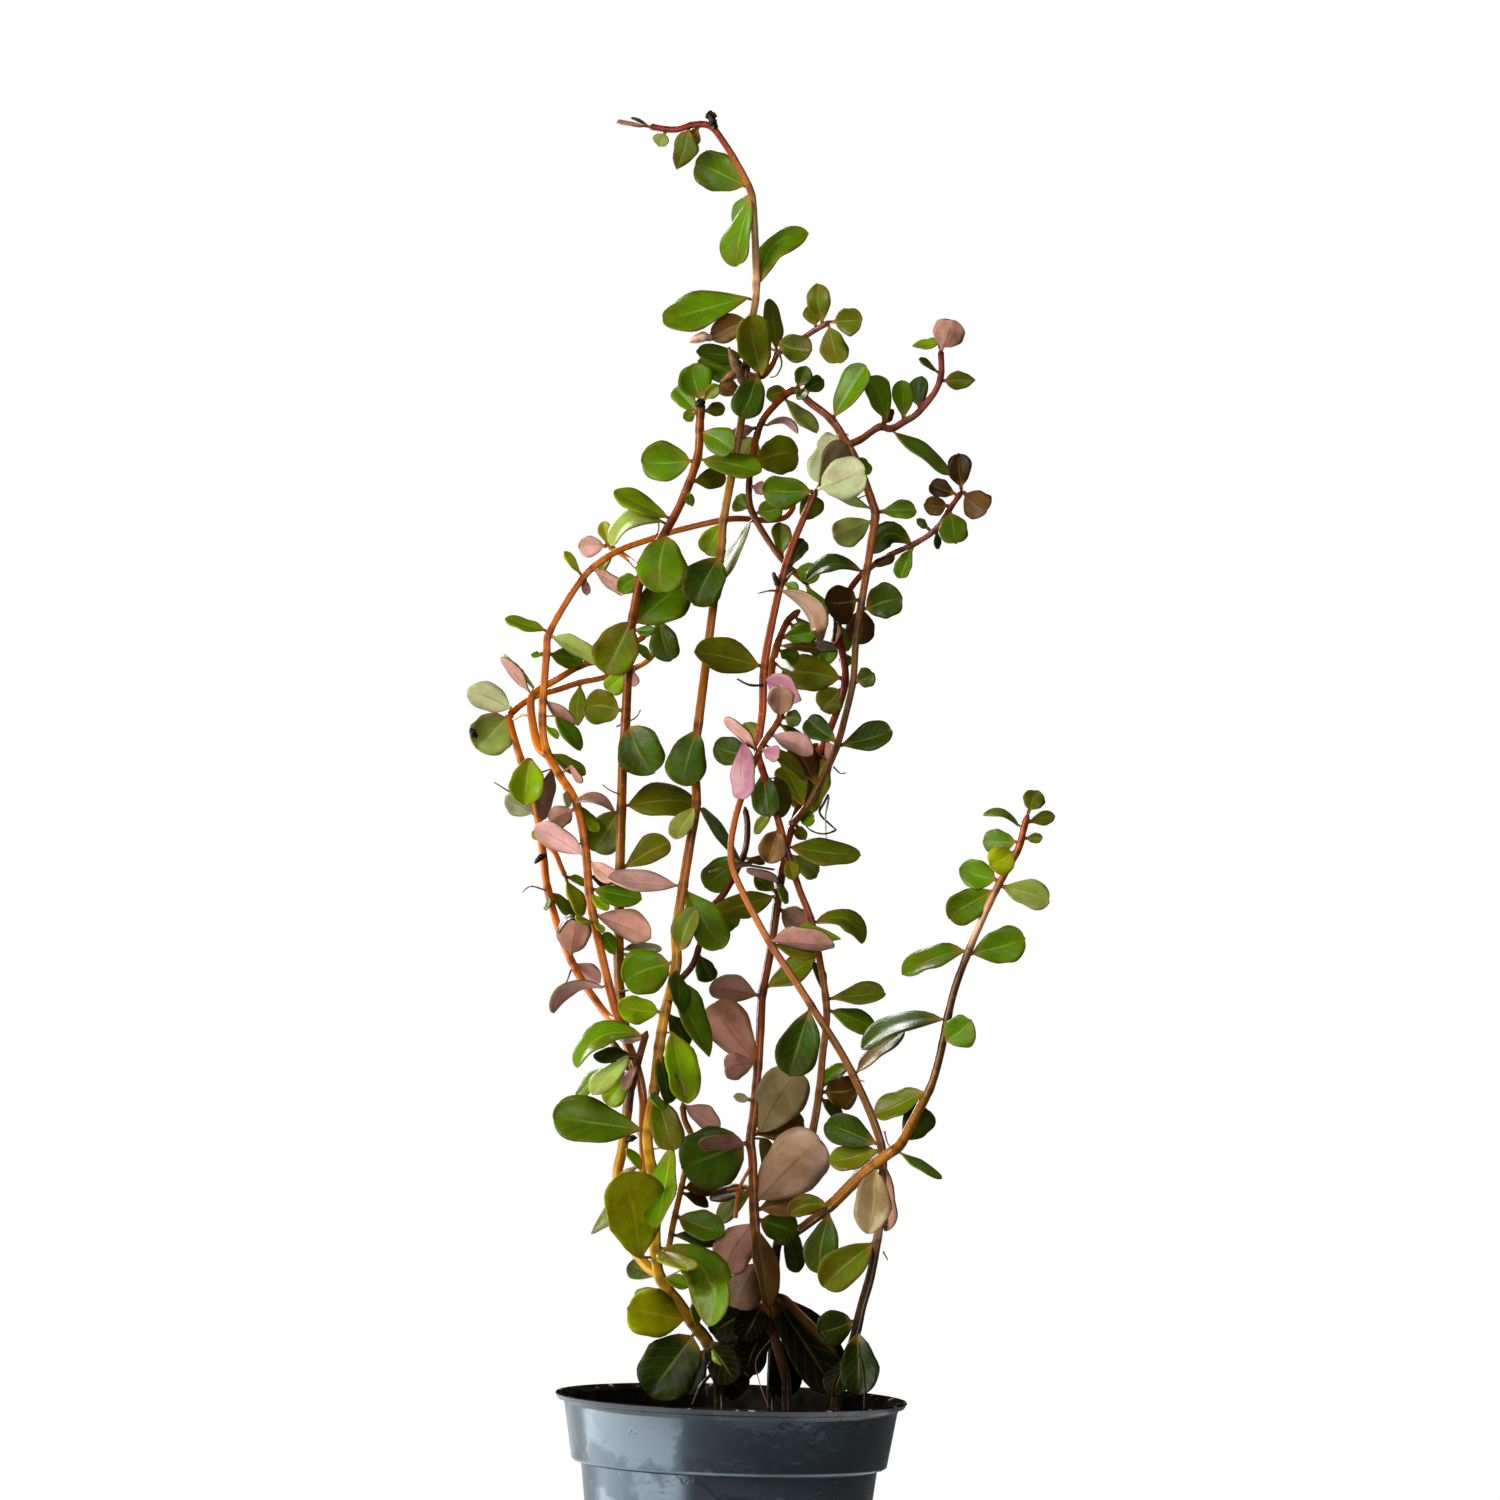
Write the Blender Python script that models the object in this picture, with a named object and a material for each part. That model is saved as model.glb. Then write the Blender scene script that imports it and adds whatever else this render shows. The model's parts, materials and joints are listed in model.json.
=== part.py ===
# Blood red dwarf rotala, a stem plant with round leaves, in a small round pot of growing medium.
# The origin is the centre of the pot's underside. The front of the plant faces -Y.

import math

import bmesh
import bpy
from mathutils import Vector
from mathutils.bvhtree import BVHTree

# Driving sizes, in millimetres.
GAP = 0.3
POT_HEIGHT = 50.0
FLANGE_RADIUS = 25.15
FLANGE_THICK = 0.65
COLLAR_TOP_RADIUS = 23.9
COLLAR_FOOT_RADIUS = 22.55
COLLAR_FOOT_Z = 40.7
BODY_TOP_RADIUS = 21.2
POT_FOOT_RADIUS = 16.5
POT_WALL = 0.9
POT_SEGMENTS = 30
MEDIUM_TOP = 47.0

# The plant is laid out as it is seen from the front, from this far off, about this point.
SEE_FROM = 1250.0
MIDDLE_X = -0.5
MIDDLE_Z = 142.4
DEPTH_SCALE = 1.35

# Stems and leaves.
LONGEST_SEGMENT = 12.0
NODE_HALF = 0.6
THICK_STEM = 0.85
LEAF_RATIO = 0.6
BROADEST_LEAF = 9.2
KEEL = 0.45
STALK_WIDE = 0.6
BROAD_LEAF = 5.6
LEAF_FORMS = {
    "o": (0.8, 1.0, 0.45),
    "e": (0.95, 0.9, 0.2),
    "p": (1.0, 0.62, 0.1),
}
SWINGS = (0, 1, -1, 2, -2, 3, -3, 4, -4, 5, -5, 6, -6, 7, -7, 8, -8)

# Colours in sRGB.
TONES = {
    "green": (0.30, 0.43, 0.05),
    "dark": (0.21, 0.31, 0.03),
    "olive": (0.32, 0.38, 0.05),
    "lime": (0.45, 0.58, 0.06),
    "bright": (0.62, 0.72, 0.14),
    "soft": (0.50, 0.58, 0.28),
    "pale": (0.70, 0.75, 0.52),
    "mauve": (0.54, 0.40, 0.31),
    "pink": (0.79, 0.59, 0.56),
    "bronze": (0.42, 0.31, 0.14),
    "brown": (0.24, 0.15, 0.05),
    "tan": (0.52, 0.46, 0.34),
    "ash": (0.56, 0.46, 0.38),
    "violet": (0.58, 0.42, 0.48),
    "deep": (0.16, 0.22, 0.04),
    "night": (0.12, 0.12, 0.04),
    "yellow": (0.56, 0.58, 0.05),
    "stem": (0.47, 0.24, 0.07),
    "stem_amber": (0.52, 0.36, 0.09),
    "stem_orange": (0.60, 0.35, 0.10),
    "stem_green": (0.53, 0.46, 0.12),
}

# The radii run in even steps from the foot of a stem to its tip.
# Each path runs up its stem as (across, up, depth). A point with no depth takes it from its neighbours.
# Each leaf is (base across, base up, tip across, tip up, tip depth from the stem, seen width, form, tone).
# Forms are o for round, e for oval and p for pointed, and a u after it shows the underside.
# A ninth number is how far the midrib bows up.
STEMS = {
    "tall_stem": {
        "radii": (0.95, 0.8, 0.72, 0.64, 0.6, 0.45),
        "tone": "stem_amber",
        "path": [
            (-1.5, 46.5, -1), (-2, 53, -1.5), (-3.6, 57.5), (-5.8, 60.2, -2.5), (-7.8, 63),
            (-10.7, 66.6, -4), (-11.6, 71.5), (-11.9, 79), (-13.2, 86.5, -8), (-12.5, 93),
            (-11.9, 100, -7), (-11.2, 105), (-9.9, 111.4), (-10.1, 116), (-9.3, 122.7), (-8.5, 129),
            (-7.8, 134.6, -3), (-8.3, 141), (-7.9, 145.9), (-7.1, 154.5), (-6.4, 162), (-5.5, 170.5),
            (-5.3, 174.8, -2), (-4.4, 181), (-3.2, 189.5), (-2.8, 196), (-2.2, 203.5), (-1.7, 208.5),
            (-2.4, 219, 0), (-3, 222.3), (-5, 226), (-7, 229), (-9, 231.3), (-11.5, 231.4),
            (-14.3, 230.6), (-18, 231, 0),
        ],
        "leaves": [
            (-4, 59.4, 0.3, 52.2, -2, 5.2, "o", "night"),
            (-5.8, 58.6, -11.6, 49.9, -3, 8.4, "o", "deep"),
            (-6.4, 60.4, -15, 62, -4, 7, "o", "yellow"),
            (-9.4, 64.8, -14.6, 63.6, 2, 2.8, "e", "green"),
            (-10.6, 66.6, -15.4, 69, 3, 3.4, "e", "dark"),
            (-10.4, 70.8, -4.2, 60.3, -3, 5.8, "e", "green", 3.4),
            (-6.6, 68.4, -4.8, 60.1, -4.5, 1.5, "e", "lime"),
            (-15, 80.8, -21.2, 72.8, 9, 2.4, "p", "olive"),
            (-9.8, 85.4, -11.5, 73.8, -4, 4, "e", "green"),
            (-14, 82, -15.9, 85, 1, 1.3, "e", "lime"),
            (-14, 87.5, -26.5, 89.6, -2, 6.3, "o", "green"),
            (-11.6, 93.6, -9.4, 85.4, -3, 4.6, "o", "olive"),
            (-11.8, 93.6, -11.5, 91, -4, 1.7, "o", "green"),
            (-10.2, 101.6, -7.5, 91.8, -1, 4.8, "e", "lime"),
            (-11.5, 99.5, -10.2, 91.6, -3, 3.2, "e", "dark"),
            (-11.9, 104.5, -18, 105.3, -2, 4, "e", "lime"),
            (-9.2, 110, -4.6, 98.5, -2, 3.8, "p", "green"),
            (-10, 111.2, -9, 105.4, -4, 2.8, "e", "dark"),
            (-10.3, 112, -17.3, 108.9, -1, 6.6, "o", "green"),
            (-9.6, 112.4, -7.6, 119.6, -2, 3.6, "e", "olive"),
            (-9.6, 122.6, -20, 123.6, -2, 2.7, "e", "pink"),
            (-8.6, 122.6, -3.4, 114.1, -1, 5.2, "o", "green"),
            (-8.4, 134.8, -10.6, 129.5, -3, 3, "o", "soft"),
            (-7.3, 134.6, -0.8, 126.6, 3, 1.6, "p", "green"),
            (-8, 146, -10, 137.2, -3, 5.8, "o", "dark"),
            (-5.2, 170.6, -8.9, 163.2, -3, 6.1, "o", "dark"),
            (-5.8, 175.2, -7.8, 170.1, 2, 3.9, "o", "lime"),
            (-3, 195.4, -9.6, 197.8, 0, 4.2, "e", "green"),
            (-1.2, 195.8, -3.3, 190, -3, 4.6, "o", "dark"),
            (-0.6, 196, -2.4, 204.2, -3.5, 5.2, "o", "olive"),
            (-2.8, 198.6, -9.7, 199.2, -2, 3, "e", "dark"),
            (-2.6, 204.2, -7.9, 201.2, -1, 3.8, "e", "bronze"),
            (-2.4, 202.6, -11, 200.8, 1, 1.6, "e", "pink"),
            (-3, 207, -15, 204, -1, 5.2, "o", "green"),
            (-1, 208.8, 5.4, 216.9, 0, 4, "e", "green", 2),
            (-2.9, 221.8, -5, 211.6, -2, 3.9, "o", "green"),
            (-3.6, 222.8, -10.9, 226, 1, 5.6, "o", "green"),
            (-9, 231.2, -8.9, 233.4, 0, 1.6, "e", "brown"),
            (-11.8, 231, -13.6, 225, -1, 3.6, "p", "olive"),
            (-10.4, 231.2, -12.4, 228.2, 1, 2.2, "e", "bronze"),
            (-15.2, 230.6, -16.2, 228.1, 1, 2.3, "e", "soft"),
            (-17.6, 231, -20.3, 232.3, 1, 0.5, "e", "dark"),
            (-18, 231, -22.3, 231.5, -1, 0.8, "e", "pink"),
            (-10.2, 70.4, -6.8, 68.2, -5, 2.4, "e", "yellow"),
            (-9.8, 67.4, -6.7, 65.6, -2, 1.9, "e", "green"),
            (-2.6, 54.2, 2, 50.6, 2, 4, "o", "night"),
            (-4.6, 57.2, -6.4, 50.4, 3, 3.4, "e", "night"),
            (-2.8, 196.6, -6.6, 199.8, 1, 1.8, "p", "brown"),
            (-13.6, 69.4, -16.8, 81.4, -9, 8.7, "o", "yellow"),
            (-3.2, 222.2, -5, 216.6, 0.5, 2.8, "e", "green"),
            (-3, 193, -6.4, 194.6, 3, 2.6, "e", "bronze"),
            (-11.2, 104.8, -7.6, 99.8, 2, 3, "o", "dark"),
        ],
    },
    "left_stem": {
        "radii": (0.78, 0.68, 0.6),
        "tone": "stem_amber",
        "parent": "tall_stem",
        "path": [
            (-10.9, 67.2, -4), (-12.3, 67.9, -3.3), (-14.2, 70, -2.5), (-15.8, 73, -2), (-17, 77),
            (-17.3, 81.5), (-16.7, 85), (-16, 93), (-15.9, 96.5, -1.5), (-16.5, 100), (-17.9, 107.7),
            (-18.2, 114), (-18.4, 124.8), (-18.5, 140, -1), (-18.3, 146), (-18.2, 152), (-18, 159),
            (-16.5, 167.8, -1.5), (-15, 170.5), (-13.2, 173.8), (-11.3, 177.7), (-9.3, 183.8),
            (-9.1, 188.8), (-9, 192, -2),
        ],
        "leaves": [
            (-17.9, 107.4, -17.2, 107.6, -1.8, 1.5, "o", "pink"),
            (-17.7, 113, -13.6, 112.2, -1, 1.7, "e", "lime"),
            (-18.2, 113.4, -12.1, 113.9, 2, 1.5, "e", "pale"),
            (-18.6, 112, -20.3, 115.4, -1, 2.3, "o", "green"),
            (-17.9, 124.6, -11.5, 128.8, 0, 3.8, "o", "olive"),
            (-18.5, 132.8, -24.9, 134.3, -2, 1.4, "e", "mauve", 1),
            (-18.8, 133.9, -22.4, 127, 2, 5.6, "o", "olive"),
            (-17.9, 134, -7.6, 135.3, 2, 5.2, "e", "olive"),
            (-18.3, 146.2, -14.2, 138.9, -2, 6.6, "o", "dark"),
            (-18.8, 147.6, -24.2, 147.8, 0, 5, "o", "olive"),
            (-18.6, 152.8, -21.2, 150.2, 2, 3, "o", "lime"),
            (-17.8, 157.8, -15.1, 155, -1, 1.2, "e", "green"),
            (-17.6, 158.8, -14.6, 159, -1.5, 1.6, "e", "dark"),
            (-17.8, 159.4, -10.4, 166, 1.5, 6.8, "o", "green"),
            (-18, 160.8, -21.4, 152.8, -2, 6.4, "o", "olive"),
            (-16.8, 167.3, -19.9, 164.5, 0, 2.8, "e", "green"),
            (-13.4, 173.4, -13.8, 165, -3, 7.2, "o", "green"),
            (-13.1, 175.2, -21, 178.8, 0, 2.9, "e", "lime"),
            (-14.2, 174.7, -21.5, 171.2, -2, 2.7, "e", "soft", 1.8),
            (-10.3, 179.6, -9.8, 177, -1.5, 1.5, "p", "dark"),
            (-10.2, 180.2, -5, 181.4, 2, 3.1, "e", "olive"),
            (-9, 184, -0.3, 182.6, -3.5, 3.6, "e", "green"),
            (-9.6, 183.6, -17.2, 183, 0, 5.7, "o", "green"),
            (-9.8, 188, -4.4, 185.2, -3, 4.2, "o", "green"),
            (-9, 190.6, -11.5, 189.5, 0, 1.8, "e", "olive"),
            (-8.9, 190.6, -5.4, 191.2, 1.5, 2.1, "e", "olive"),
            (-8.8, 192, -6.7, 194.2, -1, 1.9, "o", "olive"),
            (-9, 191.6, -10.5, 197.1, 0, 4.9, "o", "green"),
            (-9.1, 190.2, -12.9, 193.6, 1.5, 3, "o", "green"),
        ],
    },
    "left_front_shoot": {
        "radii": (0.55, 0.5),
        "tone": "brown",
        "parent": "left_stem",
        "path": [
            (-16.1, 90.5, -1.6), (-15.9, 92.5, -4.2), (-15.6, 94, -6.8), (-15.1, 96.5, -7.5),
            (-14.5, 99, -8), (-13.8, 101.8, -8.5),
        ],
        "leaves": [
            (-13.6, 102, -24, 96.4, -1, 3, "e", "green", 2.4),
            (-15, 98, -21.3, 98.2, 1, 2, "e", "dark"),
            (-15, 97.3, -16.9, 93.3, -1, 1.4, "e", "pink"),
            (-16.4, 98.2, -21.3, 92.6, -1, 2.9, "e", "soft"),
            (-20.2, 96.2, -24, 92.2, 2, 1.8, "e", "green"),
            (-15.4, 96.6, -19.2, 91.2, 1, 3.4, "o", "lime"),
            (-15.6, 94, -19, 91.1, -1, 2, "e", "lime"),
        ],
    },
    "left_back_shoot": {
        "radii": (0.45, 0.4),
        "tone": "stem_orange",
        "parent": "left_stem",
        "path": [
            (-16.6, 167.6, -1.4), (-17.4, 168, 2), (-18.5, 169, 5), (-20, 170, 6.3), (-21.8, 170.9, 6.6),
        ],
        "leaves": [
            (-21, 170.2, -23, 167, -1, 1.1, "e", "olive"),
            (-21.6, 171.2, -22.5, 174.3, 1, 1.9, "e", "yellow"),
            (-21.8, 170.9, -25.8, 170.6, 0, 3, "o", "pink"),
        ],
    },
    "left_arch_stem": {
        "radii": (0.66, 0.6, 0.45),
        "tone": "stem_orange",
        "parent": "tall_stem",
        "path": [
            (-11.9, 75, -4.6), (-12.6, 77, -3.9), (-13.4, 80.5, -3.9), (-13.7, 84.5, -4.4),
            (-13.9, 88, -4.8), (-14, 92, -5), (-14.7, 95.5, -4.6), (-15.8, 98.5, -4.4), (-17, 101, -4.3),
            (-18.3, 104.3, -4.2), (-19.8, 109.5), (-21.8, 117.1, -3), (-22.7, 121.5),
            (-23.4, 127.5), (-24.9, 133.8, -1), (-27.5, 138), (-29.4, 141.2, 2), (-30.2, 146),
            (-29.9, 155.2, 3), (-29.7, 158), (-27.4, 162.6), (-24.8, 166.6), (-23, 168.3), (-19.9, 170.4, 3),
            (-15, 172.3), (-12.6, 173.2), (-9.1, 174.2), (-5.5, 175.1), (-3, 175.4, 4), (1, 175.3),
            (3.6, 175.9, 6.5), (4.9, 177.8, 7),
        ],
        "leaves": [
            (-18.9, 108.3, -27.5, 104, 2, 2, "eu", "pink", 2),
            (-21.6, 117.2, -27, 115.3, -2, 0.8, "e", "brown", 1.7),
            (-21.4, 118, -20.6, 115.8, -2, 0.9, "e", "lime"),
            (-22, 117, -24.2, 117.4, -3, 1, "e", "lime"),
            (-21.8, 118.2, -13.4, 115.8, -1, 4.2, "eu", "mauve"),
            (-22.5, 121.6, -20, 119, -2, 1.4, "e", "lime"),
            (-22.6, 121.8, -15.2, 120.6, -1, 3.2, "e", "green"),
            (-23, 126.2, -19.2, 123.4, -2, 2.6, "o", "pink"),
            (-22.8, 123.8, -17.6, 121.8, 1, 2.6, "e", "olive"),
            (-23.6, 126.6, -30.5, 130.9, 0, 3.7, "eu", "pink"),
            (-26.4, 127.8, -30.8, 130, 1.5, 2.2, "e", "yellow"),
            (-24.9, 133.4, -28.7, 131.2, 0, 3.2, "ou", "mauve"),
            (-24.7, 134.4, -21.6, 130.1, 0, 1.9, "e", "lime"),
            (-26.4, 136.3, -26.1, 133.5, -2, 1, "e", "pale"),
            (-28.9, 141.4, -23.8, 138.4, -1, 2, "e", "olive"),
            (-26, 139.2, -24, 137.2, -2, 1.2, "eu", "mauve"),
            (-28.2, 146.4, -24.4, 141.8, -1, 2.1, "e", "green"),
            (-30, 145.2, -27.8, 143.3, -1, 1, "e", "lime"),
            (-30.2, 148.8, -25.8, 145.2, 0, 2, "eu", "mauve"),
            (-30, 155.4, -24.8, 154.2, 2, 3.1, "e", "green"),
            (-30.2, 155.3, -32, 155, 0, 0.8, "e", "green"),
            (-29.6, 158, -22.3, 154.3, -1, 2.6, "eu", "soft"),
            (-29.8, 158.6, -35.9, 160.3, 0, 1.8, "e", "lime"),
            (-25.7, 166.6, -27.8, 169.9, 0, 1.2, "e", "bright"),
            (-23.6, 167.8, -18.9, 164.3, -2, 2, "eu", "mauve"),
            (-24.4, 166.6, -24.4, 163.8, 1, 1.3, "eu", "mauve"),
        ],
    },
    "far_left_stem": {
        "radii": (0.55, 0.55, 0.42),
        "tone": "stem_orange",
        "parent": "left_arch_stem",
        "path": [
            (-17.9, 102.9, -4.3), (-19.1, 103.4, -2.5), (-21.3, 106, 0), (-24, 109.8, 2),
            (-26.3, 114.5, 3.5),
            (-28.6, 121.5, 5), (-29.5, 127), (-30.8, 133.5), (-33, 139.7, 6), (-34.8, 145.4, 6.5),
            (-34.2, 147), (-31.5, 149, 8.5), (-28, 150.2, 8.5), (-25, 151.3), (-22, 152), (-17.3, 153.6, 7),
            (-14.9, 155.3), (-14, 158, 5), (-13.8, 159.3, 5),
        ],
        "leaves": [
            (-24.4, 111.4, -20.8, 108.6, 1, 2.8, "eu", "pink"),
            (-25, 111.6, -24.3, 117.6, -1, 5, "ou", "mauve"),
            (-28.5, 121.2, -28.7, 118.8, -2, 1, "o", "olive"),
            (-28.2, 121.5, -24.2, 118, 0, 1.8, "e", "olive"),
            (-30.6, 131.9, -35.1, 134.4, 0, 3.2, "eu", "pale"),
            (-28.6, 138.7, -29.9, 131.4, 0, 2.4, "eu", "mauve"),
            (-31.8, 140.2, -32.3, 133.6, -2.5, 4.9, "o", "lime"),
            (-35, 146.6, -39.4, 141.4, -1, 6.2, "o", "soft"),
            (-34.2, 147.2, -41, 149.5, 0, 4.2, "eu", "pale"),
            (-24.9, 150.9, -25.6, 145.3, -2, 2.4, "e", "olive"),
            (-17.2, 153.5, -17.7, 150.9, 1, 2, "o", "pink"),
            (-14.1, 160.4, -12.2, 155, -1.5, 4.2, "o", "dark"),
        ],
    },
    "far_left_side_shoot": {
        "radii": (0.62, 0.5),
        "tone": "stem_orange",
        "parent": "left_arch_stem",
        "path": [
            (-29.4, 140.8, 2), (-30.7, 142, 3), (-31.7, 146, 4), (-31.9, 148.8, 4.5), (-31, 150, 5),
            (-29, 151.2, 5.5), (-25, 153.7, 6), (-22.5, 154.5), (-19, 156.3), (-15.6, 158.4, 7),
        ],
        "leaves": [
            (-31.8, 149.4, -36.2, 154.6, 0, 1.7, "eu", "mauve"),
            (-25, 153.7, -23.4, 156.4, 1, 1.4, "e", "dark"),
        ],
    },
    "far_left_small_shoot": {
        "radii": (0.4, 0.35),
        "tone": "stem_orange",
        "parent": "far_left_stem",
        "path": [
            (-29.6, 128.4, 5.2), (-27.8, 126.9, 4.4), (-26.9, 125, 4), (-26, 123.1, 4),
        ],
        "leaves": [
            (-26.1, 123.4, -23, 122.6, 1, 1.2, "e", "lime"),
            (-26.2, 123, -23.4, 118, -1, 2.1, "e", "yellow"),
        ],
    },
    "back_stem": {
        "radii": (0.55, 0.45),
        "tone": "brown",
        "parent": "tall_stem",
        "path": [
            (-11, 105.8, -6.6), (-9.5, 109, -3.5), (-7.6, 111.5, -1), (-6.4, 115.5, 1), (-5, 119.8, 2),
            (-3.3, 122), (-0.8, 127.5, 3), (-0.4, 131.5), (-0.9, 134.3, 3),
        ],
        "leaves": [
            (-7.2, 113.6, -4.7, 109.1, 1, 3, "o", "dark"),
            (-5, 119.6, -1.5, 117, 1, 3.6, "o", "green"),
            (-0.9, 127.6, -6.2, 122.6, 1, 4.7, "o", "green"),
            (-0.6, 127, 2.2, 126.4, -1, 1.2, "e", "brown"),
        ],
    },
    "base_left_shoot": {
        "radii": (0.5, 0.45),
        "tone": "stem_amber",
        "parent": "tall_stem",
        "path": [
            (-11.2, 69, -4.2), (-9.8, 70.8, -2), (-9.2, 74.2, 0), (-8.2, 79.5, 1.5), (-7.4, 83.5),
            (-6.9, 86.8), (-8, 89.3), (-8.4, 91.8, 2.5),
        ],
        "leaves": [
            (-9.2, 73, -2.2, 72.4, 1, 2.2, "e", "dark"),
            (-9.2, 75.8, -1.7, 73.4, -2, 4.2, "e", "green"),
            (-8.4, 79, -4, 77.4, 1, 1.6, "e", "brown"),
            (-8.4, 91.8, -2.9, 88.3, -1, 3.2, "eu", "mauve"),
            (-8.2, 92, -2.9, 88.5, 1.5, 1.8, "e", "dark"),
            (-8.6, 79.4, -1.5, 80.4, 2, 4, "e", "bronze"),
        ],
    },
    "center_stem": {
        "radii": (0.8, 0.7, 0.62),
        "tone": "stem",
        "path": [
            (8, 46.5, 2), (7.8, 52), (7.2, 54.5), (5.8, 59), (5.2, 61.2, 0.5), (3.5, 68.5, -0.5),
            (2.5, 75.2, -1.5), (1.9, 84), (1.5, 86.6, -2), (1.9, 91), (2.2, 96.8), (2.4, 102, -1.5),
            (2.5, 107.4), (3.5, 114, 1), (4.4, 122.3, 2.5), (5, 127.5, 4), (6, 132, 5),
        ],
        "leaves": [
            (4.8, 61.6, 2, 53.4, 1, 5, "o", "night"),
            (4.6, 60.6, -1.4, 52, 4, 6.6, "o", "night"),
            (5.4, 64.8, 14.6, 51.2, -3, 7.6, "o", "night"),
            (6, 64.8, 15, 56.8, -5.5, 2, "eu", "brown"),
            (6.4, 59.6, 9, 50.6, 3, 5, "o", "night"),
            (3.6, 70, 0, 62.8, -2, 5.6, "ou", "ash"),
            (2.6, 75, 5.4, 63.4, -2, 3.2, "e", "bronze"),
            (2.4, 75.8, -1.6, 68, 0, 5.8, "ou", "mauve"),
            (2.9, 77.8, 11.4, 87.4, -3, 8.6, "ou", "ash"),
            (2.6, 75.6, 8.5, 73.6, 7, 4.6, "o", "dark"),
            (1, 86.6, -8.2, 82.4, 1, 9, "o", "dark"),
            (2.8, 88, 8, 96.9, 0, 7.4, "ou", "tan"),
            (1.9, 92.6, -1, 93, -1, 1.2, "e", "pale"),
            (2.6, 97.6, -2.7, 96.7, -3, 3.8, "ou", "mauve"),
            (2.2, 97.4, -4.6, 106, -2, 6.3, "ou", "mauve"),
            (2.4, 107.4, -5.1, 108.5, -2, 4, "eu", "mauve"),
            (2.9, 108.4, 9.5, 113.4, -1, 3.4, "e", "olive"),
            (4.1, 120.2, 8.6, 117.6, 1, 3.8, "o", "mauve"),
            (4.2, 121.8, -4.7, 119.2, -2, 3.4, "e", "olive"),
            (4.3, 122, 0.9, 124.6, 0, 2.4, "e", "olive"),
            (0, 126, -4.9, 125.4, -6, 1.1, "eu", "mauve"),
            (4.6, 123.3, 0.4, 125.8, -3, 1.7, "eu", "pink"),
            (4.7, 124.5, 5.5, 120.7, -2, 1.3, "e", "lime"),
            (0.8, 86.2, -6, 86.6, -1, 3, "eu", "mauve"),
            (3, 87, 5, 81.8, 3, 2.6, "e", "olive"),
            (1.2, 79.6, -4, 78.4, 2, 2, "e", "brown"),
            (4.4, 63, -3.2, 58.8, 2.5, 6.2, "o", "night"),
            (2.4, 87.4, 9.4, 89.6, 2.5, 4.6, "o", "bronze"),
            (4.6, 64.4, 1.4, 58, 1.6, 4.8, "o", "night"),
            (2.4, 94.4, 4.3, 88.4, 3, 3, "e", "brown"),
            (1.9, 79.8, -3.4, 76.2, 4, 3.6, "o", "olive"),
            (2.5, 76.6, 9.2, 78.8, 5, 4, "o", "bronze"),
        ],
    },
    "right_arch_stem": {
        "radii": (0.55, 0.5, 0.62, 0.5, 0.42),
        "tone": "stem",
        "parent": "center_stem",
        "path": [
            (6, 132, 5), (7.8, 134.3, 4), (9, 136.3, 2.5), (10.4, 139.4, 0), (12, 143.4, -2),
            (13, 147.5, -3),
            (14, 152.8, -3), (14.2, 158.5), (14.8, 163.8), (15.4, 168.3), (16.1, 174, -2), (16.4, 176.6),
            (16, 178), (14, 183, -1.5), (12.1, 186.4), (9.7, 189.9, -0.5), (6.5, 192.3), (4.2, 194, 0),
            (1.5, 191.8), (-0.6, 188.6, 0), (-1.5, 183.5), (-1.8, 180.6), (-1.6, 177.5), (-0.5, 175, 0.5),
            (2, 171.3), (3.2, 169.9, 1), (5, 168), (7.2, 166.3, 3),
        ],
        "leaves": [
            (12.6, 143.4, 19.7, 145.8, -1, 3.9, "o", "dark"),
            (14, 152.2, 16.8, 153.8, -1, 2.9, "o", "dark"),
            (14.8, 163.8, 14.6, 157.8, 2, 4.2, "o", "brown"),
            (14.7, 164.2, 10, 163.9, -2, 5.4, "o", "brown"),
            (15.2, 163, 20.5, 164.8, -1, 5, "o", "dark"),
            (15.1, 168.8, 6.8, 167, -1, 2.2, "e", "dark", 1.6),
            (16.2, 176, 10.2, 173.3, -2, 4.2, "ou", "soft"),
            (16.4, 177, 22.1, 177.6, 0, 2.7, "o", "green"),
            (16.2, 177.2, 10, 179.8, 0, 1.2, "eu", "soft"),
            (12.9, 185.4, 15.2, 182.2, 1, 2.8, "o", "green"),
            (10.4, 188.2, 8, 181.1, -2, 4.8, "ou", "pale"),
            (9.7, 190, 14.1, 197.8, -1, 4, "o", "green"),
            (4.8, 194.4, 5.7, 197.3, -1, 2.5, "o", "dark"),
            (4.9, 194, 8.3, 195.8, 1, 2.4, "o", "dark"),
            (4.4, 193.6, 5.8, 193.2, -3, 1.5, "e", "dark"),
            (3, 193, 7.9, 188.4, -1, 2.2, "e", "soft"),
            (3.8, 194, 0.3, 193.2, 1, 2.4, "e", "olive"),
            (-0.5, 189, 5.1, 188, 1, 0.9, "eu", "pink", 1.3),
            (-1.3, 187.8, -3.4, 183.9, 1, 3.9, "ou", "soft"),
            (-0.9, 188.6, -4.6, 187.5, -1, 1.8, "eu", "mauve"),
            (-1, 183.2, 5.2, 185.2, 2, 5.6, "o", "olive"),
            (-1.6, 180.3, 0.9, 179.7, -1, 1.9, "eu", "mauve"),
            (-1.6, 176.4, -3.7, 178.4, 1, 2.8, "o", "green"),
            (-1, 175.9, 2.9, 177.4, -1, 3.4, "o", "green"),
            (-1.6, 175, -6.2, 165.9, -4, 2.1, "e", "soft"),
            (3.2, 170, 2.9, 174.9, 0, 2.8, "o", "olive"),
            (4.4, 168.6, 6.3, 172.6, 1, 2.6, "o", "dark"),
            (5.2, 168.6, 8.8, 168, 0, 3, "o", "green"),
            (7.4, 167, 9.4, 161.3, -1, 3, "o", "green"),
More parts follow.
